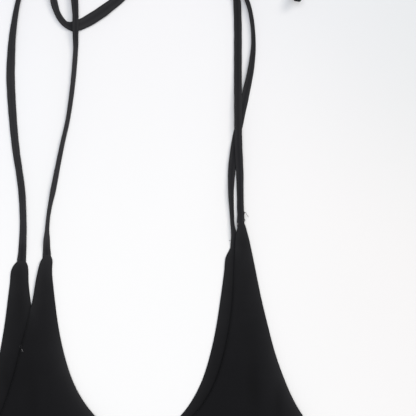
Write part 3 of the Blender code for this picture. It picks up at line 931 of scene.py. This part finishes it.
def sweep(centres, across, upward, profile, closed=False, painted_sheen=0.0):
    """A shape of rings along a line. Across and upward span each ring, half its size long,
    and across points to the left seen along the line, so that the faces point outwards."""
    rings = (
        centres[:, None]
        + across[:, None] * profile[None, :, :1]
        + upward[:, None] * profile[None, :, 1:]
    )
    count, sides = len(centres), len(profile)
    along = distances(centres)
    section = rings[count // 2]
    around = distances(np.concatenate([section, section[:1]]))
    faces, places = [], []
    for i in range(count if closed else count - 1):
        j = (i + 1) % count
        ahead = along[i] + np.linalg.norm(centres[j] - centres[i])
        for k in range(sides):
            m = (k + 1) % sides
            faces.append([i * sides + k, i * sides + m, j * sides + m, j * sides + k])
            places += [(along[i], around[k]), (along[i], around[k + 1])]
            places += [(ahead, around[k + 1]), (ahead, around[k])]
    points = rings.reshape(-1, 3)
    from_middle = np.tile(np.abs(profile[:, 0]), count)
    painted_sheen = np.repeat(np.broadcast_to(painted_sheen, count), sides)
    if not closed:
        points = np.concatenate([points, centres[[0, -1]]])
        from_middle = np.concatenate([from_middle, (0.0, 0.0)])
        painted_sheen = np.concatenate([painted_sheen, painted_sheen[[0, -1]]])
        for ring in (0, count - 1):
            middle = count * sides + (1 if ring else 0)
            for k in range(sides):
                pair = [ring * sides + k, ring * sides + (k + 1) % sides]
                faces.append([*(pair if ring else pair[::-1]), middle])
                places += [(along[ring], around[k])] * 3
    return Shape(points, faces, places, from_middle, painted_sheen)


def soft_piece(name, shapes, material):
    """One object made of shapes, with a UV map of how far along and around them it is."""
    points, faces, places = [], [], []
    for shape in shapes:
        faces += [[i + len(points) for i in face] for face in shape.faces]
        points += list(shape.points)
        places += shape.places
    shares = {
        "from_middle": np.concatenate([shape.from_middle for shape in shapes]),
        "painted_sheen": np.concatenate([shape.painted_sheen for shape in shapes]),
    }
    piece = new_piece(name, points, faces, shares, material)
    piece.data.uv_layers.new(name="along").data.foreach_set("uv", np.array(places).ravel())
    return piece


def fibre(points, radius, closed=False):
    """A thin round thread through the points, given in the frame's metres."""
    ways = np.gradient(points, axis=0)
    if closed:
        ways = np.roll(points, -1, axis=0) - np.roll(points, 1, axis=0)
    ways = unit(ways)
    across = unit(np.cross((0.0, 0.0, 1.0), ways))
    upward = np.cross(ways, across)
    section = round_profile(THREAD_SIDES)
    return sweep(points, across * radius, upward * radius, section, closed)


def strap_rows(layer, side):
    """Rows of a whole tie, from inside its peak, through its knot and to its cut end."""
    tie, tail = TIES[layer, side], TAILS[layer, side]
    turn = KNOT_TURNS.get((layer, side), [])
    knot = smooth([tie[-2], tie[-1], *turn, tail[0], tail[1]], TIE_STEPS)
    inner = knot[TIE_STEPS + 1 : -TIE_STEPS - 1]
    return np.concatenate([smooth(tie, TIE_STEPS), inner, smooth(tail, TIE_STEPS)])


def tie_sheen(layer, side, place):
    """How much painted sheen a tie has at these distances along it."""
    painted_sheen = np.zeros_like(place)
    for stretch in TIE_SHEEN_STRETCHES.get((layer, side), []):
        begun = ease(place, stretch.start, stretch.start + SHEEN_RAMP_LENGTH)
        ended = ease(place, stretch.end, stretch.end + SHEEN_RAMP_LENGTH)
        painted_sheen += stretch.share * begun * (1 - ended)
    return painted_sheen


def partly(share, progress):
    """What goes from a share to 1 as its progress goes from 0 to 1."""
    return share + (1 - share) * progress


def strap(layer, side, material):
    """One tie as a ribbon along its whole length, and the line through its middle."""
    sizes = settings()
    x, y, roll, lift, widening = evenly(strap_rows(layer, side), RING_STEP).T
    flat = np.column_stack([x, y])
    right = rightward(flat)
    place = np.arange(len(flat)) * RING_STEP
    leaving = ease(place, *PEAK_LEAVING)
    closing = np.sqrt(1 - (1 - np.clip((place[-1] - place) / CUT_LENGTH, 0, 1)) ** 2)
    sway = ROLL_SWAY * np.sin(place / ROLL_LENGTH + ROLL_PHASES[side])
    roll = np.radians(roll + sway) * leaving
    half_width = sizes.tie_width / 2 * widening * partly(CUT_WIDTH, closing)
    half_width *= 1 + WIDTH_SWAY * np.sin(place / WIDTH_LENGTH)
    half_wall = sizes.tie_wall / 2 * (1 + NARROW_WALL * np.clip(1 - widening, 0, 1))
    half_wall *= partly(PEAK_WALL, ease(place, *PEAK_THICKENING)) * partly(CUT_WALL, closing)
    across = np.column_stack([right * np.cos(roll)[:, None], np.sin(roll)]) * half_width[:, None]
    upward = np.column_stack([right * -np.sin(roll)[:, None], np.cos(roll)]) * half_wall[:, None]
    height = SURFACE_GAP + lift + np.abs(across[:, 2]) + np.abs(upward[:, 2])
    flat += (0, CHEST_Y)
    in_peak = distance_to(underside_edge(layer), flat[:1])
    seam = panel_heights(layer, flat[:1], in_peak)[0][0]
    centres = np.column_stack([flat, seam + (height - seam) * leaving])
    painted_sheen = tie_sheen(layer, side, place)
    shape = sweep(centres, -across, upward, strap_profile(), painted_sheen=painted_sheen)
    ribbon = soft_piece(f"strap_{layer}_{side}", [shape], material)
    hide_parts(f"tie_{layer}_{side}", f"tail_{layer}_{side}")
    return ribbon, centres


# Knots and stitches


def knot_wrap(middle, wrap):
    """One band of a knot, wrapped a little unevenly round the ties that run through it."""
    turns = np.linspace(0, 2 * math.pi, BAND_RINGS, endpoint=False)
    uneven = 1 + BAND_BULGE * np.sin(3 * turns + wrap.phase) + BAND_RIPPLE * np.sin(7 * turns)
    tilt = math.radians(wrap.tilt)
    level = np.array([math.cos(tilt), math.sin(tilt), 0.0])
    normal = np.array([-math.sin(tilt), math.cos(tilt), 0.0])
    reach = wrap.half_width * np.cos(turns) * uneven
    sway = BAND_SWAY * np.sin(2 * turns + wrap.phase)
    centres = middle + reach[:, None] * level + sway[:, None] * normal
    centres[:, 2] += wrap.half_height * np.sin(turns) * uneven
    slant = [np.cos(turns) / wrap.half_width, np.sin(turns) / wrap.half_height]
    outward = unit(np.column_stack(slant))
    wide = wrap.half_band * (1 + BAND_WIDENING * np.sin(2 * turns + 2 * wrap.phase))
    across = normal * wide[:, None]
    upward = outward[:, :1] * level
    upward[:, 2] = outward[:, 1]
    thick = BAND_WALL / 2 * (1 + BAND_THICKENING * np.sin(5 * turns + wrap.phase))
    return sweep(centres, -across, upward * thick[:, None], creased_profile(), closed=True)


def knot_core(middle):
    """The ties that run through a knot, drawn together into one rounded bundle."""
    half_width, half_length, half_height = CORE_SIZES
    share = np.sin(np.linspace(-math.pi / 2, math.pi / 2, CORE_RINGS))
    size = np.sqrt(np.clip(1 - share**2, CORE_TIP, 1))[:, None]
    centres = middle + np.outer(share, (0.0, half_length, 0.0))
    across = size * (-half_width, 0.0, 0.0)
    upward = size * (0.0, 0.0, half_height)
    return sweep(centres, across, upward, round_profile(CORE_SIDES))


def stitch(start, end):
    """One stitch of sewing thread between two places on the cloth."""
    shares = np.linspace(0, 1, STITCH_POINTS)
    points = start + np.outer(shares, end - start)
    arch = np.sin(math.pi * shares) ** STITCH_ARCH
    points[:, 2] += (STITCH_DIP + STITCH_RISE) * arch - STITCH_DIP
    return fibre(points, STITCH_RADIUS)


# Materials

# Cloth: how flat a thread's crown is between its crossings, its gloss and its bump
WEAVE_FLATNESS = 0.3
CLOTH_ROUGHNESS = (0.90, 0.76)
CLOTH_BUMP = 0.00006
PLY_BUMP = 0.00004
# Painted light: a panel pales from one height above the chest line to another, by a power and up
# to a share
PALING_CLIMB = (0.100, 0.208)
PALING_POWER = 1.8
PALING_SHARE = 0.24
# Painted light on a tie: it pales from its middle, which is painted dark, to its edges, by shares
# of its width, and where it has painted sheen
TIE_EDGE = (0.05, 0.65)
SHEEN_SHARE = 0.6
# Times by which colours change: where a tie has painted sheen, in a panel's full painted shade,
# in uneven dye, from the painted shade in the gaps of the weave to the painted light on its
# crowns, along a thread, and in the board's grain
SHEEN_TIMES = (1.0, 1.4)
SHADE_TIMES = (1.0, 0.72)
DYE_TIMES = (0.90, 1.10)
DYE_PATCHES = (0.3, 0.7)  # of the noise, between which the dye changes
WEAVE_TIMES = (0.72, 1.10)
THREAD_TIMES = (0.8, 1.2)
GRAIN_TIMES = (0.994, 1.006)


def fill(tree, node, values):
    """Sets a node's properties by name and its inputs by name or number. A value that is
    another node's output is linked to the input."""
    for key, value in values.items():
        if key in node.bl_rna.properties.keys():
            setattr(node, key, value)
            continue
        socket = node.inputs[key.replace("_", " ") if isinstance(key, str) else key]
        if isinstance(value, bpy.types.NodeSocket):
            tree.links.new(value, socket)
        else:
            socket.default_value = value


def add_node(tree, kind, *given, output=0, **values):
    """One output of a new node. Values fill it by name, and what is given its first inputs."""
    node = tree.nodes.new(kind)
    fill(tree, node, {**values, **dict(enumerate(given))})
    return node.outputs[output]


def math_node(tree, operation, *given, **values):
    """The result of one calculation with numbers."""
    return add_node(tree, "ShaderNodeMath", *given, operation=operation, **values)


def vector_node(tree, operation, *given, **values):
    """The result of one calculation with vectors or colours."""
    return add_node(tree, "ShaderNodeVectorMath", *given, operation=operation, **values)


def mapped(tree, value, given=(0, 1), made=(0, 1), kind="LINEAR"):
    """A value that runs between two given numbers, made to run between two others."""
    return add_node(
        tree, "ShaderNodeMapRange", value, interpolation_type=kind,
        From_Min=given[0], From_Max=given[1], To_Min=made[0], To_Max=made[1],
    )


def mix(tree, kind, share, first, second):
    """Two numbers or two colours mixed by a share."""
    start, result = {"FLOAT": (2, 0), "RGBA": (6, 2)}[kind]
    node = add_node(tree, "ShaderNodeMix", share, data_type=kind).node
    fill(tree, node, {start: first, start + 1: second})
    return node.outputs[result]


def attribute(tree, name):
    """A share that a piece's points hold."""
    return add_node(tree, "ShaderNodeAttribute", output="Fac", attribute_name=name)


def noise(tree, places, **values):
    """A soft noise over these places."""
    return add_node(tree, "ShaderNodeTexNoise", output="Fac", Vector=places, **values)


def new_group(name, inputs, output):
    """A new node group, with its inputs and its output as sockets to read and to fill."""
    group = bpy.data.node_groups.new(name, "ShaderNodeTree")
    for title, way in [*((title, "INPUT") for title in inputs), (output, "OUTPUT")]:
        kind = title if title in ("Vector", "Color") else "Float"
        group.interface.new_socket(title, in_out=way, socket_type=f"NodeSocket{kind}")
    given = group.nodes.new("NodeGroupInput")
    made = group.nodes.new("NodeGroupOutput")
    return group, given.outputs, made.inputs[output]


def weave_group():
    """A plain weave: the height of its threads as they pass over and under each other."""
    if "plain_weave" in bpy.data.node_groups:
        return bpy.data.node_groups["plain_weave"]
    group, given, height = new_group("plain_weave", ("Vector", "Threads"), "Height")
    scaled = vector_node(group, "SCALE", given["Vector"], Scale=given["Threads"])
    parts = add_node(group, "ShaderNodeSeparateXYZ", scaled).node.outputs
    crowns = []
    for axis in ("X", "Y"):
        sine = math_node(group, "SINE", math_node(group, "MULTIPLY", parts[axis], math.pi))
        crowns.append(math_node(group, "ABSOLUTE", sine))
    threads = []
    for crown, crossing in (crowns, crowns[::-1]):
        dip = math_node(group, "POWER", crossing, WEAVE_FLATNESS)
        threads.append(math_node(group, "MULTIPLY", crown, dip))
    checks = add_node(group, "ShaderNodeTexChecker", scaled, output="Fac", Scale=1.0)
    group.links.new(mix(group, "FLOAT", checks, *threads), height)
    return group


def dye_and_weave_shade_group():
    """Uneven dye in soft patches, with painted shade in the gaps between threads and painted
    light on their crowns.
    """
    if "uneven_dye_and_weave_shade" in bpy.data.node_groups:
        return bpy.data.node_groups["uneven_dye_and_weave_shade"]
    group, given, dyed_and_shaded = new_group("uneven_dye_and_weave_shade", ("Color", "Vector", "Threads"), "Color")
    patches = noise(group, given["Vector"], Scale=38.0, Detail=3.0, Roughness=0.6)
    spread = mapped(group, patches, DYE_PATCHES, DYE_TIMES)
    # Painted shade in the weave's gaps and painted light on its crowns
    shade = mapped(group, given["Threads"], made=WEAVE_TIMES)
    both = math_node(group, "MULTIPLY", spread, shade)
    group.links.new(vector_node(group, "SCALE", given["Color"], Scale=both), dyed_and_shaded)
    return group


def panel_painted_light(tree, places):
    """Share of the paler colour of painted light on a panel: along its edges and towards its
    peaks.
    """
    height = add_node(tree, "ShaderNodeSeparateXYZ", places, output="Y")
    climb = mapped(tree, height, [y + CHEST_Y for y in PALING_CLIMB])
    paling = math_node(tree, "POWER", climb, PALING_POWER)
    lit = attribute(tree, "lit")
    return math_node(tree, "MULTIPLY_ADD", paling, PALING_SHARE, lit, use_clamp=True)


def tie_painted_light(tree):
    """Share of the paler colour of painted light on a tie: it grows from its middle, painted
    dark, to its edges, and where the tie has painted sheen."""
    edges = mapped(tree, attribute(tree, "from_middle"), TIE_EDGE, kind="SMOOTHSTEP")
    painted_sheen = attribute(tree, "painted_sheen")
    return math_node(tree, "MULTIPLY_ADD", painted_sheen, SHEEN_SHARE, edges, use_clamp=True)


def tie_paling(tree):
    """Times that a tie's colour is paler where the tie has painted sheen."""
    return mapped(tree, attribute(tree, "painted_sheen"), (0, 2), SHEEN_TIMES)


def panel_shading(tree):
    """Times that a panel's colour is darker with painted shade in its crevices and troughs."""
    return mapped(tree, attribute(tree, "painted_shade"), made=SHADE_TIMES)


def new_material(name):
    """A new material, its node tree and its shader."""
    material = bpy.data.materials.new(name)
    material.use_nodes = True
    return material, material.node_tree, material.node_tree.nodes["Principled BSDF"]


def matte_cloth(name, colour, edge_light_colour, is_panel):
    """Dyed woven cloth with little gloss and a faint nap, cut on the bias for a tie, with painted
    light and painted shade in its colour.
    """
    material, tree, shader = new_material(name)
    places = add_node(tree, "ShaderNodeTexCoord", output="Object" if is_panel else "UV")
    bias = math.radians(0 if is_panel else 45)
    turned = add_node(tree, "ShaderNodeMapping", places, Rotation=(0, 0, bias))
    weave = add_node(
        tree, "ShaderNodeGroup", node_tree=weave_group(),
        Vector=turned, Threads=1 / settings().thread_pitch,
    )
    lit_share = panel_painted_light(tree, places) if is_panel else tie_painted_light(tree)
    times = panel_shading(tree) if is_panel else tie_paling(tree)
    blend = mix(tree, "RGBA", lit_share, colour, edge_light_colour)
    shaded = vector_node(tree, "SCALE", blend, Scale=times)
    dyed_and_shaded = add_node(
        tree, "ShaderNodeGroup", node_tree=dye_and_weave_shade_group(),
        Color=shaded, Vector=places, Threads=weave,
    )
    bump = add_node(tree, "ShaderNodeBump", Strength=0.35, Distance=CLOTH_BUMP, Height=weave)
    fill(tree, shader, {
        "Base Color": dyed_and_shaded,
        "Roughness": mapped(tree, weave, made=CLOTH_ROUGHNESS),
        "Specular IOR Level": 0.10,
        "Sheen Weight": 0.04,
        "Sheen Roughness": 0.5,
        "Normal": bump,
    })
    return material


def twisted_thread(name, colour, roughness, twists):
    """Thread or lint: a colour that varies along it, with the plies' slanting grooves."""
    material, tree, shader = new_material(name)
    places = add_node(tree, "ShaderNodeTexCoord", output="UV")
    plies = add_node(
        tree, "ShaderNodeTexWave", places, output="Fac",
        bands_direction="DIAGONAL", Scale=twists,
    )
    shade = mapped(tree, noise(tree, places, Scale=900.0), made=THREAD_TIMES)
    bump = add_node(tree, "ShaderNodeBump", Strength=0.5, Distance=PLY_BUMP, Height=plies)
    fill(tree, shader, {
        "Base Color": vector_node(tree, "SCALE", colour, Scale=shade),
        "Roughness": roughness,
        "Specular IOR Level": 0.2,
        "Normal": bump,
    })
    return material


def material_named(name):
    """One of the garment's materials, made the first time that it is asked for."""
    if name in bpy.data.materials:
        return bpy.data.materials[name]
    looks = settings()
    if name == "woven_panel":
        return matte_cloth(name, looks.cloth_colour, looks.edge_light_colour, is_panel=True)
    if name == "woven_tie":
        return matte_cloth(name, looks.tie_colour, looks.tie_edge_light_colour, is_panel=False)
    if name == "sewing_thread":
        return twisted_thread(name, (0.018, 0.018, 0.019), roughness=0.6, twists=700.0)
    if name == "pale_lint":
        return twisted_thread(name, (0.62, 0.61, 0.60), roughness=0.9, twists=500.0)
    raise KeyError(name)


# Stage


class LightPatch(NamedTuple):
    """A soft round patch of painted shade and tinted painted light on the surface: its middle,
    where it starts to fade and where it ends, from the middle, and the share of each colour that
    it leaves."""

    x: float
    y: float
    near: float
    far: float
    colour: tuple


SURFACE_LIGHT_PATCHES = (
    LightPatch(0.42, 0.58, 0.21, 0.42, (0.89, 0.92, 0.93)),
    LightPatch(0.04, 0.59, 0.05, 0.37, (0.945, 0.943, 0.963)),
    LightPatch(-0.36, 0.39, 0.15, 0.36, (0.960, 0.972, 1.0)),
    LightPatch(0.50, 0.30, 0.27, 0.49, (0.96, 0.946, 0.94)),
)
SURFACE_SIZE = 60
SURFACE_Z = -0.00015

# Lamps: where each shines from, its angle in degrees, its strength and its colour
SUNS = (
    ("overhead", (0.05, 0.10, 1.0), 50, 1.80, (0.965, 0.982, 1.0)),
    ("window", (0.80, 0.62, 0.95), 24, 1.14, (1.0, 0.93, 0.84)),
)

# The camera looks straight down on the peaks and the lower part of the ties
VIEW_CENTRE = (0.0512, 0.2426 + CHEST_Y)
VIEW_WIDTH = 0.3328
CAMERA_HEIGHT = 1.4


def surface_material():
    """Pale matte board with a faint grain, with painted shade and tinted painted light in soft
    patches.
    """
    material, tree, shader = new_material("pale_surface")
    places = add_node(tree, "ShaderNodeTexCoord", output="Object")
    grain = mapped(tree, noise(tree, places, Scale=9.0, Detail=4.0), made=GRAIN_TIMES)
    colour = vector_node(tree, "SCALE", settings().surface_colour[:3], Scale=grain)
    for patch in SURFACE_LIGHT_PATCHES:
        away = vector_node(tree, "DISTANCE", places, (patch.x, patch.y, 0), output="Value")
        fading = mapped(tree, away, (patch.near, patch.far), kind="SMOOTHSTEP")
        tint = mix(tree, "RGBA", fading, (*patch.colour, 1), (1, 1, 1, 1))
        colour = vector_node(tree, "MULTIPLY", colour, tint)
    fill(tree, shader, {"Base Color": colour, "Roughness": 0.9, "Specular IOR Level": 0.1})
    return material


def pale_world():
    """A pale cool sky, brighter towards the horizon than overhead."""
    world = bpy.data.worlds.new("pale_sky")
    world.use_nodes = True
    tree = world.node_tree
    places = add_node(tree, "ShaderNodeTexCoord", output="Generated")
    height = add_node(tree, "ShaderNodeSeparateXYZ", places, output="Z")
    strength = mapped(tree, height, (0, 0.45), (0.92, 0.36), "SMOOTHSTEP")
    cool = (0.93, 0.955, 1.0, 1.0)
    fill(tree, tree.nodes["Background"], {"Color": cool, "Strength": strength})
    return world


class TANKTOP_OT_stage(bpy.types.Operator):
    """Makes the pale surface, the soft light and the camera above the peaks"""

    bl_idname = "tanktop.stage"
    bl_label = "Stage"

    def execute(self, context):
        bpy.ops.object.select_all(action="DESELECT")
        bpy.ops.mesh.primitive_plane_add(size=SURFACE_SIZE, location=(0, 0, SURFACE_Z))
        surface = context.active_object
        surface.name = "surface"
        bpy.ops.object.transform_apply(location=True)
        surface.data.materials.append(surface_material())

        context.scene.world = pale_world()
        for name, direction, angle, strength, colour in SUNS:
            lamp = bpy.data.lights.new(name, "SUN")
            lamp.angle = math.radians(angle)
            lamp.energy = strength
            lamp.color = colour
            light = bpy.data.objects.new(name, lamp)
            context.collection.objects.link(light)
            light.location = direction
            light.rotation_euler = Vector(direction).to_track_quat("Z", "Y").to_euler()

        view = bpy.data.cameras.new("camera")
        view.lens = view.sensor_width * CAMERA_HEIGHT / VIEW_WIDTH
        camera = bpy.data.objects.new("camera", view)
        context.collection.objects.link(camera)
        camera.location = (*VIEW_CENTRE, CAMERA_HEIGHT)
        context.scene.camera = camera
        context.scene.view_settings.view_transform = "Standard"
        return {"FINISHED"}


class TANKTOP_OT_knots(bpy.types.Operator):
    """Makes the knot over each shoulder: two crossed bands about the ties' bundle"""

    bl_idname = "tanktop.knots"
    bl_label = "Knots"

    def execute(self, context):
        material = material_named("woven_tie")
        for side, (x, y) in KNOTS.items():
            middle = np.array([x, y + CHEST_Y, KNOT_MIDDLE_HEIGHT])
            shapes = [knot_core(middle)]
            shapes += [knot_wrap(middle, wrap) for wrap in KNOT_WRAPS[side]]
            knot = soft_piece(f"knot_cloth_{side}", shapes, material)
            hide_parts(f"knot_{side}")
        return {"FINISHED"}


class TANKTOP_OT_straps(bpy.types.Operator):
    """Makes the four ties, each one ribbon from its peak through its knot to its end"""

    bl_idname = "tanktop.straps"
    bl_label = "Straps"

    def execute(self, context):
        material = material_named("woven_tie")
        for layer, side in TIES:
            ribbon, centres = strap(layer, side, material)
        return {"FINISHED"}


class TANKTOP_OT_panels(bpy.types.Operator):
    """Makes the back panel, which lies on the surface with its inner face up, and on it the
    front panel, with its outer face up"""

    bl_idname = "tanktop.panels"
    bl_label = "Panels"

    def execute(self, context):
        material = material_named("woven_panel")
        for layer, below in (("back", "surface"), ("front", "back_panel")):
            shell = panel_shell(layer, material)
            flat_area(layer)
        return {"FINISHED"}


class TANKTOP_OT_stitches(bpy.types.Operator):
    """Makes the row of stitches along the front's hem"""

    bl_idname = "tanktop.stitches"
    bl_label = "Hem stitches"

    def execute(self, context):
        sizes = settings()
        jitter = np.random.default_rng(5)
        low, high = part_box("front")
        step = sizes.stitch_length
        starts = np.arange(low.x + STITCH_MARGIN, high.x - STITCH_MARGIN - step, step)
        starts += jitter.normal(0, STITCH_SPREAD * step, len(starts))
        ends = starts + step * jitter.uniform(*STITCH_SHARES, len(starts))
        rows = []
        for x in (starts, ends):
            y = HEM_Y + sizes.hem_depth + hem_rise(x) + jitter.normal(0, LINE_SPREAD, len(x))
            flat = np.column_stack([x, y])
            top = panel_heights("front", flat, np.full(len(x), STITCH_LEVEL))[1]
            rows.append(np.column_stack([flat, top]))
        stitches = [stitch(start, end) for start, end in zip(*rows)]
        soft_piece("hem_stitches", stitches, material_named("sewing_thread"))
        return {"FINISHED"}


def above_front(places, clearance):
    """Points over places on the front's upper face, this far above it."""
    from_edge = distance_to(underside_edge("front"), places)
    top = panel_heights("front", places, from_edge)[1]
    return np.column_stack([places, top + clearance])


class TANKTOP_OT_loose_bits(bpy.types.Operator):
    """Makes the loose threads at the peaks and the flecks of lint on the front"""

    bl_idname = "tanktop.loose_bits"
    bl_label = "Loose threads and lint"

    def execute(self, context):
        threads = []
        for radius, places in LOOSE_THREADS:
            threads.append(fibre(smooth(places, LOOSE_STEPS) + (0, CHEST_Y, 0), radius))
        turns = np.linspace(0, 2 * math.pi, LOOP_POINTS, endpoint=False)
        reach = LOOP_REACH * (1 + LOOP_UNEVEN * np.sin(2 * turns))
        loop = reach[:, None] * round_profile(LOOP_POINTS) + LOOP_MIDDLE + (0, CHEST_Y)
        threads.append(fibre(above_front(loop, LOOP_CLEARANCE), LOOP_RADIUS, closed=True))
        soft_piece("loose_threads", threads, material_named("sewing_thread"))

        flecks = []
        for start, end, radius in LINT:
            line = np.linspace(start, end, LINT_POINTS) + (0, CHEST_Y)
            line[:, 0] += LINT_SWAY * np.sin(np.arange(LINT_POINTS))
            flecks.append(fibre(above_front(line, radius), radius))
        soft_piece("lint", flecks, material_named("pale_lint"))
        return {"FINISHED"}


class TANKTOP_PT_sidebar(bpy.types.Panel):
    """Lists what makes the tank top"""

    bl_idname = "TANKTOP_PT_sidebar"
    bl_label = "Tank top"
    bl_space_type = "VIEW_3D"
    bl_region_type = "UI"
    bl_category = "Tank top"

    def draw(self, context):
        for name in TankTopSettings.__annotations__:
            self.layout.prop(context.scene.tank_top, name)
        for operator in OPERATORS:
            self.layout.operator(operator.bl_idname)


# In the order in which they run
OPERATORS = (
    TANKTOP_OT_stage,
    TANKTOP_OT_knots,
    TANKTOP_OT_straps,
    TANKTOP_OT_panels,
    TANKTOP_OT_stitches,
    TANKTOP_OT_loose_bits,
)
CLASSES = (TankTopSettings, *OPERATORS, TANKTOP_PT_sidebar)


def register():
    """Adds the classes and the scene's settings."""
    for item in CLASSES:
        bpy.utils.register_class(item)
    bpy.types.Scene.tank_top = bpy.props.PointerProperty(type=TankTopSettings)


def unregister():
    """Removes what register adds."""
    del bpy.types.Scene.tank_top
    for item in reversed(CLASSES):
        bpy.utils.unregister_class(item)


def main():
    """Makes the whole top."""
    register()
    for operator in OPERATORS:
        group, name = operator.bl_idname.split(".")
        getattr(getattr(bpy.ops, group), name)()


if __name__ == "__main__":
    main()
